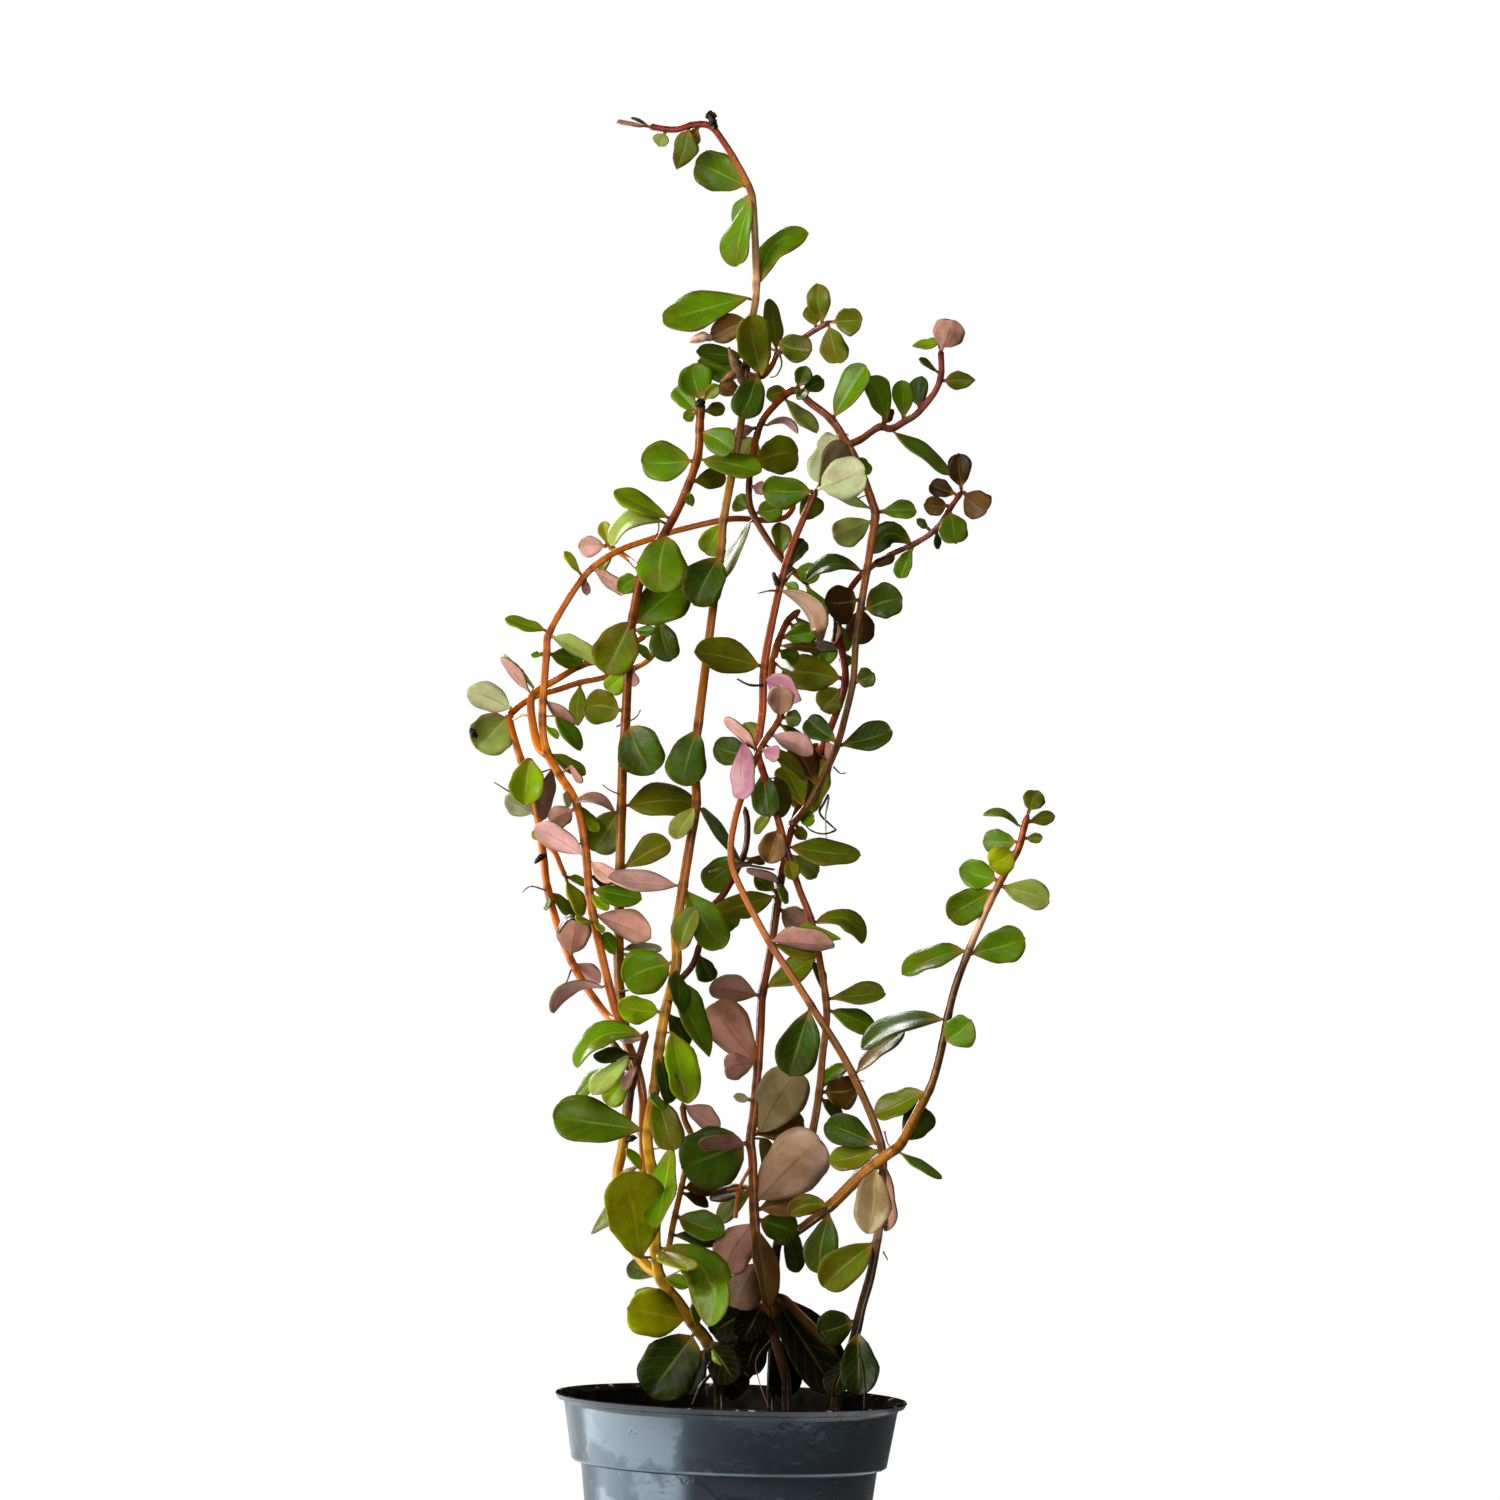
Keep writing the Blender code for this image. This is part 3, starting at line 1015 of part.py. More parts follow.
def make_plant(materials):
    stems = {name: Stem(name, plan) for name, plan in STEMS.items()}
    starts = {}
    placed = []
    for name, plan in STEMS.items():
        stem = stems[name]
        parent = stems.get(plan.get("parent"))
        starts[name] = start_of(stem, parent)
        rough, _ = grow_tube(stem, ring_places(stem, [], starts[name]), parent)
        placed.append(stem_tree(rough))
        rough.free()
    for index, (name, plan) in enumerate(STEMS.items()):
        stem = stems[name]
        others = placed[:index] + placed[index + 1:]
        leaves = []
        for row in plan["leaves"]:
            before = len(others)
            leaves.append(settle(stem, row, others))
            placed.extend(others[before:])
        alongs = [leaf["along"] for leaf in leaves]
        parent = stems.get(plan.get("parent"))
        bm, free = grow_tube(stem, ring_places(stem, alongs, starts[name]), parent)
        tones = [plan["tone"]]
        bm.normal_update()
        for leaf in leaves:
            if leaf["tone"] not in tones:
                tones.append(leaf["tone"])
            grow_leaf(bm, free, leaf, tones.index(leaf["tone"]))
        bmesh.ops.triangulate(bm, faces=bm.faces)
        finish(bm, name, [materials[tone] for tone in tones])


def main():
    clear_scene()
    plastic = make_material("pot_plastic", (0.30, 0.33, 0.36), 0.3)
    soil = make_material("medium_dark", (0.09, 0.08, 0.06), 0.95)
    materials = {}
    for tone, colour in TONES.items():
        materials[tone] = make_material("plant_" + tone, colour, 0.45)
    make_pot(plastic)
    make_medium(soil)
    make_plant(materials)


main()
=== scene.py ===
# Blood red dwarf rotala in its pot: a photo-like dressing of the solid model.
import bmesh
import bpy
import json
import math
import random
from mathutils import Matrix, Vector, noise
from mathutils.bvhtree import BVHTree

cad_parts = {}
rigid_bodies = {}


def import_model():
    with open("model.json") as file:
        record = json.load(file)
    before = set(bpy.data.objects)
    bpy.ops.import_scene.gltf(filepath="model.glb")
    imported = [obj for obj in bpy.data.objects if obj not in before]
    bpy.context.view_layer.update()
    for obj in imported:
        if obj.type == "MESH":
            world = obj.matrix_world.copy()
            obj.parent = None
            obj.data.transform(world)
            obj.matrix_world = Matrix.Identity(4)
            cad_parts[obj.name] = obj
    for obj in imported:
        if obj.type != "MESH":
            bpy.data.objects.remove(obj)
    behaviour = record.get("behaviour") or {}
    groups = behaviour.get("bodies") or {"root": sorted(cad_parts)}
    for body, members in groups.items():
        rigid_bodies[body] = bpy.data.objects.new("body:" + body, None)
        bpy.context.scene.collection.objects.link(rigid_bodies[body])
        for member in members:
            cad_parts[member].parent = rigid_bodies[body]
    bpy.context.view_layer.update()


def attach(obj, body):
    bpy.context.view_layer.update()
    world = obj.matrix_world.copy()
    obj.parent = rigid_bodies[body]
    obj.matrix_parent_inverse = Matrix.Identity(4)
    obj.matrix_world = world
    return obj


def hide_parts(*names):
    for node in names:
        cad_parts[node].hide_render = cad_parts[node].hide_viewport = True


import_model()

mm = 0.001

# The plant is laid out as it is seen from the front, from this far off, about this point.
seeFrom = 1250.0
middleX = -0.5
middleZ = 142.4
depthScale = 1.35

# How the solid stems and leaves are made, in millimetres.
gap = 0.3
mediumTop = 47.0
pathStep = 0.5
headingStep = 0.4
longestSegment = 12.0
nodeHalf = 0.6
thickStem = 0.85
leastRadius = 0.2
stemTip = 0.6
forkRoom = 0.3
leafRatio = 0.6
broadestLeaf = 9.2
leafClear = 0.4
baseDepth = 0.15
inwardPull = 0.3
keel = 0.45
endKeel = 0.6
stalkWide = 0.6
broadLeaf = 5.6
leafForms = {"o": (0.8, 1.0, 0.45), "e": (0.95, 0.9, 0.2), "p": (1.0, 0.62, 0.1)}
swings = (0, 1, -1, 2, -2, 3, -3, 4, -4, 5, -5, 6, -6, 7, -7, 8, -8)

# Each path runs up its stem as (across, up, depth). A point with no depth takes it from its neighbours.
# Each leaf is (base across, base up, tip across, tip up, tip depth from the stem, seen width, form, tone).
# Forms are o for round, e for oval and p for pointed, and a u after it shows the underside.
# A ninth number is how far the midrib bows up.
# Bands are for a stem whose colour changes with height: (up, colour in sRGB). The dark bands lowest down,
# by the medium, are partly the darker brown of old lower stem and partly painted shade.
# Bits are small things on the stem: tone, radii from end to end, and points (across, up, depth from stem).
tallStem = {
    "node": "tall_stem",
    "radii": (0.95, 0.8, 0.72, 0.64, 0.6, 0.45),
    "tone": "stem_amber",
    "bands": [
        # The first band, dark by the medium, is partly painted shade.
        (50, (0.14, 0.08, 0.02)), (62, (0.46, 0.32, 0.05)), (72, (0.70, 0.52, 0.12)),
        (100, (0.58, 0.40, 0.05)), (118, (0.56, 0.34, 0.05)), (128, (0.44, 0.23, 0.03)),
        (165, (0.46, 0.27, 0.05)), (184, (0.54, 0.38, 0.12)), (192, (0.30, 0.19, 0.07)),
        (204, (0.46, 0.32, 0.14)), (208, (0.70, 0.52, 0.34)), (217, (0.68, 0.50, 0.30)),
        (223, (0.54, 0.30, 0.10)), (231, (0.48, 0.14, 0.05)),
    ],
    "path": [
        (-1.5, 46.5, -1), (-2, 53, -1.5), (-3.6, 57.5), (-5.8, 60.2, -2.5), (-7.8, 63),
        (-10.7, 66.6, -4), (-11.6, 71.5), (-11.9, 79), (-13.2, 86.5, -8), (-12.5, 93),
        (-11.9, 100, -7), (-11.2, 105), (-9.9, 111.4), (-10.1, 116), (-9.3, 122.7), (-8.5, 129),
        (-7.8, 134.6, -3), (-8.3, 141), (-7.9, 145.9), (-7.1, 154.5), (-6.4, 162), (-5.5, 170.5),
        (-5.3, 174.8, -2), (-4.4, 181), (-3.2, 189.5), (-2.8, 196), (-2.2, 203.5), (-1.7, 208.5),
        (-2.4, 219, 0), (-3, 222.3), (-5, 226), (-7, 229), (-9, 231.3), (-11.5, 231.4),
        (-14.3, 230.6), (-18, 231, 0),
    ],
    "leaves": [
        # The near-black and deep leaves low down here are painted shade.
        (-4, 59.4, 0.3, 52.2, -2, 5.2, "o", "night"),
        (-5.8, 58.6, -11.6, 49.9, -3, 8.4, "o", "deep"),
        (-6.4, 60.4, -15, 62, -4, 7, "o", "yellow"),
        (-9.4, 64.8, -14.6, 63.6, 2, 2.8, "e", "green"),
        (-10.6, 66.6, -15.4, 69, 3, 3.4, "e", "dark"),
        (-10.4, 70.8, -4.2, 60.3, -3, 5.8, "e", "green", 3.4),
        (-6.6, 68.4, -4.8, 60.1, -4.5, 1.5, "e", "lime"),
        (-15, 80.8, -21.2, 72.8, 9, 2.4, "p", "olive"),
        (-9.8, 85.4, -11.5, 73.8, -4, 4, "e", "green"),
        (-14, 82, -15.9, 85, 1, 1.3, "e", "lime"),
        (-14, 87.5, -26.5, 89.6, -2, 6.3, "o", "green"),
        (-11.6, 93.6, -9.4, 85.4, -3, 4.6, "o", "olive"),
        (-11.8, 93.6, -11.5, 91, -4, 1.7, "o", "green"),
        (-10.2, 101.6, -7.5, 91.8, -1, 4.8, "e", "lime"),
        (-11.5, 99.5, -10.2, 91.6, -3, 3.2, "e", "dark"),
        (-11.9, 104.5, -18, 105.3, -2, 4, "e", "lime"),
        (-9.2, 110, -4.6, 98.5, -2, 3.8, "p", "green"),
        (-10, 111.2, -9, 105.4, -4, 2.8, "e", "dark"),
        (-10.3, 112, -17.3, 108.9, -1, 6.6, "o", "green"),
        (-9.6, 112.4, -7.6, 119.6, -2, 3.6, "e", "olive"),
        (-9.6, 122.6, -20, 123.6, -2, 2.7, "e", "pink"),
        (-8.6, 122.6, -3.4, 114.1, -1, 5.2, "o", "green"),
        (-8.4, 134.8, -10.6, 129.5, -3, 3, "o", "soft"),
        (-7.3, 134.6, -0.8, 126.6, 3, 1.6, "p", "green"),
        (-8, 146, -10, 137.2, -3, 5.8, "o", "dark"),
        (-5.2, 170.6, -8.9, 163.2, -3, 6.1, "o", "dark"),
        (-5.8, 175.2, -7.8, 170.1, 2, 3.9, "o", "lime"),
        (-3, 195.4, -9.6, 197.8, 0, 4.2, "e", "green"),
        (-1.2, 195.8, -3.3, 190, -3, 4.6, "o", "dark"),
        (-0.6, 196, -2.4, 204.2, -3.5, 5.2, "o", "olive"),
        (-2.8, 198.6, -9.7, 199.2, -2, 3, "e", "dark"),
        (-2.6, 204.2, -7.9, 201.2, -1, 3.8, "e", "bronze"),
        (-2.4, 202.6, -11, 200.8, 1, 1.6, "e", "pink"),
        (-3, 207, -15, 204, -1, 5.2, "o", "green"),
        (-1, 208.8, 5.4, 216.9, 0, 4, "e", "green", 2),
        (-2.9, 221.8, -5, 211.6, -2, 3.9, "o", "green"),
        (-3.6, 222.8, -10.9, 226, 1, 5.6, "o", "green"),
        (-9, 231.2, -8.9, 233.4, 0, 1.6, "e", "brown"),
        (-11.8, 231, -13.6, 225, -1, 3.6, "p", "olive"),
        (-10.4, 231.2, -12.4, 228.2, 1, 2.2, "e", "bronze"),
        (-15.2, 230.6, -16.2, 228.1, 1, 2.3, "e", "soft"),
        (-17.6, 231, -20.3, 232.3, 1, 0.5, "e", "dark"),
        (-18, 231, -22.3, 231.5, -1, 0.8, "e", "pink"),
        (-10.2, 70.4, -6.8, 68.2, -5, 2.4, "e", "yellow"),
        (-9.8, 67.4, -6.7, 65.6, -2, 1.9, "e", "green"),
        (-2.6, 54.2, 2, 50.6, 2, 4, "o", "night"),
        (-4.6, 57.2, -6.4, 50.4, 3, 3.4, "e", "night"),
        (-2.8, 196.6, -6.6, 199.8, 1, 1.8, "p", "brown"),
        (-13.6, 69.4, -16.8, 81.4, -9, 8.7, "o", "yellow"),
        (-3.2, 222.2, -5, 216.6, 0.5, 2.8, "e", "green"),
        (-3, 193, -6.4, 194.6, 3, 2.6, "e", "bronze"),
        (-11.2, 104.8, -7.6, 99.8, 2, 3, "o", "dark"),
    ],
    "bits": [
        ("pink", (0.5, 0.75, 0.3), ((-7.9, 201, -0.8), (-9.4, 201.2, -1.5), (-10.9, 200.6, -1.5))),
        ("root", (0.5, 0.9, 0.2), ((-3.2, 194.8, -0.6), (-4.2, 197, -1.4), (-5.4, 199.8, -1.4))),
        ("red", (0.4, 0.7, 0.3), ((-3.2, 197, -0.6), (-4.8, 196, -1.6), (-6.2, 194.8, -1.2))),
        ("black", (0.4, 0.62, 0.45, 0.12), (
            (-8.2, 231, -0.2), (-8.7, 231.9, -0.4), (-9.1, 232.8, -0.4), (-9.4, 233.2, -0.4),
        )),
        ("root", (0.16, 0.1), ((-9.9, 96, -0.8), (-8.4, 94.6, -2), (-8.1, 92.8, -2))),
        ("dark", (0.3, 0.15), ((-2.6, 53.5, -1), (-4.4, 51.4, -3), (-5.6, 48.6, -4))),
        ("dark", (0.1, 0.05), ((-2.4, 56, -1), (-3.7, 53.6, -4), (-3.4, 49.8, -6))),
        ("green", (0.2, 0.45, 0.15), ((-2.9, 56.4, -3), (-2.5, 55.3, -4.2), (-1.5, 54.4, -4.5))),
    ],
}

leftStem = {
    "node": "left_stem",
    "radii": (0.78, 0.68, 0.6),
    "tone": "stem_amber",
    "bands": [
        (66, (0.62, 0.46, 0.10)), (96, (0.56, 0.38, 0.06)), (122, (0.46, 0.27, 0.04)),
        (150, (0.42, 0.20, 0.03)), (176, (0.50, 0.26, 0.10)), (192, (0.44, 0.22, 0.06)),
    ],
    "parent": "tall_stem",
    "path": [
        (-10.9, 67.2, -4), (-12.3, 67.9, -3.3), (-14.2, 70, -2.5), (-15.8, 73, -2), (-17, 77),
        (-17.3, 81.5), (-16.7, 85), (-16, 93), (-15.9, 96.5, -1.5), (-16.5, 100), (-17.9, 107.7),
        (-18.2, 114), (-18.4, 124.8), (-18.5, 140, -1), (-18.3, 146), (-18.2, 152), (-18, 159),
        (-16.5, 167.8, -1.5), (-15, 170.5), (-13.2, 173.8), (-11.3, 177.7), (-9.3, 183.8),
        (-9.1, 188.8), (-9, 192, -2),
    ],
    "leaves": [
        (-17.9, 107.4, -17.2, 107.6, -1.8, 1.5, "o", "pink"),
        (-17.7, 113, -13.6, 112.2, -1, 1.7, "e", "lime"),
        (-18.2, 113.4, -12.1, 113.9, 2, 1.5, "e", "pale"),
        (-18.6, 112, -20.3, 115.4, -1, 2.3, "o", "green"),
        (-17.9, 124.6, -11.5, 128.8, 0, 3.8, "o", "olive"),
        (-18.5, 132.8, -24.9, 134.3, -2, 1.4, "e", "mauve", 1),
        (-18.8, 133.9, -22.4, 127, 2, 5.6, "o", "olive"),
        (-17.9, 134, -7.6, 135.3, 2, 5.2, "e", "olive"),
        (-18.3, 146.2, -14.2, 138.9, -2, 6.6, "o", "dark"),
        (-18.8, 147.6, -24.2, 147.8, 0, 5, "o", "olive"),
        (-18.6, 152.8, -21.2, 150.2, 2, 3, "o", "lime"),
        (-17.8, 157.8, -15.1, 155, -1, 1.2, "e", "green"),
        (-17.6, 158.8, -14.6, 159, -1.5, 1.6, "e", "dark"),
        (-17.8, 159.4, -10.4, 166, 1.5, 6.8, "o", "green"),
        (-18, 160.8, -21.4, 152.8, -2, 6.4, "o", "olive"),
        (-16.8, 167.3, -19.9, 164.5, 0, 2.8, "e", "green"),
        (-13.4, 173.4, -13.8, 165, -3, 7.2, "o", "green"),
        (-13.1, 175.2, -21, 178.8, 0, 2.9, "e", "lime"),
        (-14.2, 174.7, -21.5, 171.2, -2, 2.7, "e", "soft", 1.8),
        (-10.3, 179.6, -9.8, 177, -1.5, 1.5, "p", "dark"),
        (-10.2, 180.2, -5, 181.4, 2, 3.1, "e", "olive"),
        (-9, 184, -0.3, 182.6, -3.5, 3.6, "e", "green"),
        (-9.6, 183.6, -17.2, 183, 0, 5.7, "o", "green"),
        (-9.8, 188, -4.4, 185.2, -3, 4.2, "o", "green"),
        (-9, 190.6, -11.5, 189.5, 0, 1.8, "e", "olive"),
        (-8.9, 190.6, -5.4, 191.2, 1.5, 2.1, "e", "olive"),
        (-8.8, 192, -6.7, 194.2, -1, 1.9, "o", "olive"),
        (-9, 191.6, -10.5, 197.1, 0, 4.9, "o", "green"),
        (-9.1, 190.2, -12.9, 193.6, 1.5, 3, "o", "green"),
    ],
    "bits": [
        ("black", (0.4, 0.8, 0.7, 0.3), (
            (-9, 191, 0), (-9.1, 191.5, -0.3), (-9.2, 191.9, -0.3), (-9.2, 192.3, -0.3),
        )),
        ("root", (0.14, 0.08), ((-18.4, 135.3, -0.5), (-20.2, 136, -1), (-21.3, 136.8, -1))),
        ("root", (0.14, 0.08), ((-14.2, 171, -0.5), (-14.9, 169.2, -1), (-15.8, 168.6, -1))),
        ("mauve", (0.4, 0.6, 0.2), ((-17, 80.8, -0.6), (-15.8, 81.6, -1.4), (-14.6, 82.4, -1.4))),
        ("black", (0.3, 0.55, 0.3), ((-16.4, 86, -0.4), (-15.5, 86.4, -0.8), (-14.6, 86.8, -0.8))),
        ("white", (0.3, 0.4, 0.3), ((-16.2, 87.4, -0.4), (-14.9, 87.2, -1), (-13.5, 85.6, -1))),
    ],
}

leftFrontShoot = {
    "node": "left_front_shoot",
    "radii": (0.55, 0.5),
    "tone": "brown",
    "parent": "left_stem",
    "path": [
        (-16.1, 90.5, -1.6), (-15.9, 92.5, -4.2), (-15.6, 94, -6.8), (-15.1, 96.5, -7.5),
        (-14.5, 99, -8), (-13.8, 101.8, -8.5),
    ],
    "leaves": [
        (-13.6, 102, -24, 96.4, -1, 3, "e", "green", 2.4),
        (-15, 98, -21.3, 98.2, 1, 2, "e", "dark"),
        (-15, 97.3, -16.9, 93.3, -1, 1.4, "e", "pink"),
        (-16.4, 98.2, -21.3, 92.6, -1, 2.9, "e", "soft"),
        (-20.2, 96.2, -24, 92.2, 2, 1.8, "e", "green"),
        (-15.4, 96.6, -19.2, 91.2, 1, 3.4, "o", "lime"),
        (-15.6, 94, -19, 91.1, -1, 2, "e", "lime"),
    ],
}

leftBackShoot = {
    "node": "left_back_shoot",
    "radii": (0.45, 0.4),
    "tone": "stem_orange",
    "parent": "left_stem",
    "path": [
        (-16.6, 167.6, -1.4), (-17.4, 168, 2), (-18.5, 169, 5), (-20, 170, 6.3),
        (-21.8, 170.9, 6.6),
    ],
    "leaves": [
        (-21, 170.2, -23, 167, -1, 1.1, "e", "olive"),
        (-21.6, 171.2, -22.5, 174.3, 1, 1.9, "e", "yellow"),
        (-21.8, 170.9, -25.8, 170.6, 0, 3, "o", "pink"),
    ],
}

leftArchStem = {
    "node": "left_arch_stem",
    "radii": (0.66, 0.6, 0.45),
    "tone": "stem_orange",
    "parent": "tall_stem",
    "path": [
        (-11.9, 75, -4.6), (-12.6, 77, -3.9), (-13.4, 80.5, -3.9), (-13.7, 84.5, -4.4),
        (-13.9, 88, -4.8), (-14, 92, -5), (-14.7, 95.5, -4.6), (-15.8, 98.5, -4.4),
        (-17, 101, -4.3), (-18.3, 104.3, -4.2), (-19.8, 109.5), (-21.8, 117.1, -3), (-22.7, 121.5),
        (-23.4, 127.5), (-24.9, 133.8, -1), (-27.5, 138), (-29.4, 141.2, 2), (-30.2, 146),
        (-29.9, 155.2, 3), (-29.7, 158), (-27.4, 162.6), (-24.8, 166.6), (-23, 168.3),
        (-19.9, 170.4, 3), (-15, 172.3), (-12.6, 173.2), (-9.1, 174.2), (-5.5, 175.1),
        (-3, 175.4, 4), (1, 175.3), (3.6, 175.9, 6.5), (4.9, 177.8, 7),
    ],
    "leaves": [
        (-18.9, 108.3, -27.5, 104, 2, 2, "eu", "pink", 2),
        (-21.6, 117.2, -27, 115.3, -2, 0.8, "e", "brown", 1.7),
        (-21.4, 118, -20.6, 115.8, -2, 0.9, "e", "lime"),
        (-22, 117, -24.2, 117.4, -3, 1, "e", "lime"),
        (-21.8, 118.2, -13.4, 115.8, -1, 4.2, "eu", "mauve"),
        (-22.5, 121.6, -20, 119, -2, 1.4, "e", "lime"),
        (-22.6, 121.8, -15.2, 120.6, -1, 3.2, "e", "green"),
        (-23, 126.2, -19.2, 123.4, -2, 2.6, "o", "pink"),
        (-22.8, 123.8, -17.6, 121.8, 1, 2.6, "e", "olive"),
        (-23.6, 126.6, -30.5, 130.9, 0, 3.7, "eu", "pink"),
        (-26.4, 127.8, -30.8, 130, 1.5, 2.2, "e", "yellow"),
        (-24.9, 133.4, -28.7, 131.2, 0, 3.2, "ou", "mauve"),
        (-24.7, 134.4, -21.6, 130.1, 0, 1.9, "e", "lime"),
        (-26.4, 136.3, -26.1, 133.5, -2, 1, "e", "pale"),
        (-28.9, 141.4, -23.8, 138.4, -1, 2, "e", "olive"),
        (-26, 139.2, -24, 137.2, -2, 1.2, "eu", "mauve"),
        (-28.2, 146.4, -24.4, 141.8, -1, 2.1, "e", "green"),
        (-30, 145.2, -27.8, 143.3, -1, 1, "e", "lime"),
        (-30.2, 148.8, -25.8, 145.2, 0, 2, "eu", "mauve"),
        (-30, 155.4, -24.8, 154.2, 2, 3.1, "e", "green"),
        (-30.2, 155.3, -32, 155, 0, 0.8, "e", "green"),
        (-29.6, 158, -22.3, 154.3, -1, 2.6, "eu", "soft"),
        (-29.8, 158.6, -35.9, 160.3, 0, 1.8, "e", "lime"),
        (-25.7, 166.6, -27.8, 169.9, 0, 1.2, "e", "bright"),
        (-23.6, 167.8, -18.9, 164.3, -2, 2, "eu", "mauve"),
        (-24.4, 166.6, -24.4, 163.8, 1, 1.3, "eu", "mauve"),
    ],
    "bits": [
        ("root", (0.14, 0.08), ((-19.6, 145.1, -0.4), (-17, 146.4, -1.2), (-16.2, 147.6, -1.6))),
        ("root", (0.15, 0.08), ((-14.6, 174.9, -0.4), (-14.5, 173.4, -0.8), (-15, 172.4, -0.8))),
        ("black", (0.35, 0.5, 0.2), ((-29.1, 126.4, -0.3), (-29.9, 126, -0.9), (-30.6, 125.2, -0.9))),
        ("red", (0.3, 0.6, 0.2), ((-19.4, 101, -0.5), (-17.6, 98.6, -1.5), (-16.2, 96, -1.5))),
        ("pink", (0.3, 0.6, 0.3), ((-19, 101.6, -0.5), (-16.6, 100.4, -1.8), (-14, 101, -1.8))),
    ],
}

farLeftStem = {
    "node": "far_left_stem",
    "radii": (0.55, 0.55, 0.42),
    "tone": "stem_orange",
    "parent": "left_arch_stem",
    "path": [
        (-17.9, 102.9, -4.3), (-19.1, 103.4, -2.5), (-21.3, 106, 0), (-24, 109.8, 2),
        (-26.3, 114.5, 3.5), (-28.6, 121.5, 5), (-29.5, 127), (-30.8, 133.5), (-33, 139.7, 6),
        (-34.8, 145.4, 6.5), (-34.2, 147), (-31.5, 149, 8.5), (-28, 150.2, 8.5), (-25, 151.3),
        (-22, 152), (-17.3, 153.6, 7), (-14.9, 155.3), (-14, 158, 5), (-13.8, 159.3, 5),
    ],
    "leaves": [
        (-24.4, 111.4, -20.8, 108.6, 1, 2.8, "eu", "pink"),
        (-25, 111.6, -24.3, 117.6, -1, 5, "ou", "mauve"),
        (-28.5, 121.2, -28.7, 118.8, -2, 1, "o", "olive"),
        (-28.2, 121.5, -24.2, 118, 0, 1.8, "e", "olive"),
        (-30.6, 131.9, -35.1, 134.4, 0, 3.2, "eu", "pale"),
        (-28.6, 138.7, -29.9, 131.4, 0, 2.4, "eu", "mauve"),
        (-31.8, 140.2, -32.3, 133.6, -2.5, 4.9, "o", "lime"),
        (-35, 146.6, -39.4, 141.4, -1, 6.2, "o", "soft"),
        (-34.2, 147.2, -41, 149.5, 0, 4.2, "eu", "pale"),
        (-24.9, 150.9, -25.6, 145.3, -2, 2.4, "e", "olive"),
        (-17.2, 153.5, -17.7, 150.9, 1, 2, "o", "pink"),
        (-14.1, 160.4, -12.2, 155, -1.5, 4.2, "o", "dark"),
    ],
    "bits": [
        ("root", (0.16, 0.12, 0.07), ((-28.6, 121.3, -0.4), (-31, 121.9, -1), (-32.3, 121, -1))),
        ("root", (0.15, 0.08), ((-34.2, 135.1, -0.4), (-36.8, 136.6, -1))),
        ("root", (0.15, 0.08), ((-24.9, 110.2, -0.4), (-25.5, 108.4, -1), (-26.4, 107.2, -1))),
        ("pale", (0.22, 0.2, 0.15), ((-34.4, 145.6, -0.5), (-33.2, 146.3, -1), (-32, 146.2, -1))),
        ("black", (0.15, 0.5, 0.5, 0.3), (
            (-40.4, 144.2, -1.7), (-40.2, 143.8, -1.7), (-39.9, 143.3, -1.7), (-39.4, 142.9, -1.7),
        )),
    ],
}

farLeftSideShoot = {
    "node": "far_left_side_shoot",
    "radii": (0.62, 0.5),
    "tone": "stem_orange",
    "parent": "left_arch_stem",
    "path": [
        (-29.4, 140.8, 2), (-30.7, 142, 3), (-31.7, 146, 4), (-31.9, 148.8, 4.5), (-31, 150, 5),
        (-29, 151.2, 5.5), (-25, 153.7, 6), (-22.5, 154.5), (-19, 156.3), (-15.6, 158.4, 7),
    ],
    "leaves": [
        (-31.8, 149.4, -36.2, 154.6, 0, 1.7, "eu", "mauve"),
        (-25, 153.7, -23.4, 156.4, 1, 1.4, "e", "dark"),
    ],
    "bits": [
        ("lime", (0.2, 0.45, 0.12), ((-31.5, 150.1, 0.6), (-33.8, 152.8, 1.5), (-36, 154.9, 2))),
    ],
}

farLeftSmallShoot = {
    "node": "far_left_small_shoot",
    "radii": (0.4, 0.35),
    "tone": "stem_orange",
    "parent": "far_left_stem",
    "path": [
        (-29.6, 128.4, 5.2), (-27.8, 126.9, 4.4), (-26.9, 125, 4), (-26, 123.1, 4),
    ],
    "leaves": [
        (-26.1, 123.4, -23, 122.6, 1, 1.2, "e", "lime"),
        (-26.2, 123, -23.4, 118, -1, 2.1, "e", "yellow"),
    ],
}

backStem = {
    "node": "back_stem",
    "radii": (0.55, 0.45),
    "tone": "brown",
    "parent": "tall_stem",
    "path": [
        (-11, 105.8, -6.6), (-9.5, 109, -3.5), (-7.6, 111.5, -1), (-6.4, 115.5, 1), (-5, 119.8, 2),
        (-3.3, 122), (-0.8, 127.5, 3), (-0.4, 131.5), (-0.9, 134.3, 3),
    ],
    "leaves": [
        (-7.2, 113.6, -4.7, 109.1, 1, 3, "o", "dark"),
        (-5, 119.6, -1.5, 117, 1, 3.6, "o", "green"),
        (-0.9, 127.6, -6.2, 122.6, 1, 4.7, "o", "green"),
        (-0.6, 127, 2.2, 126.4, -1, 1.2, "e", "brown"),
    ],
}

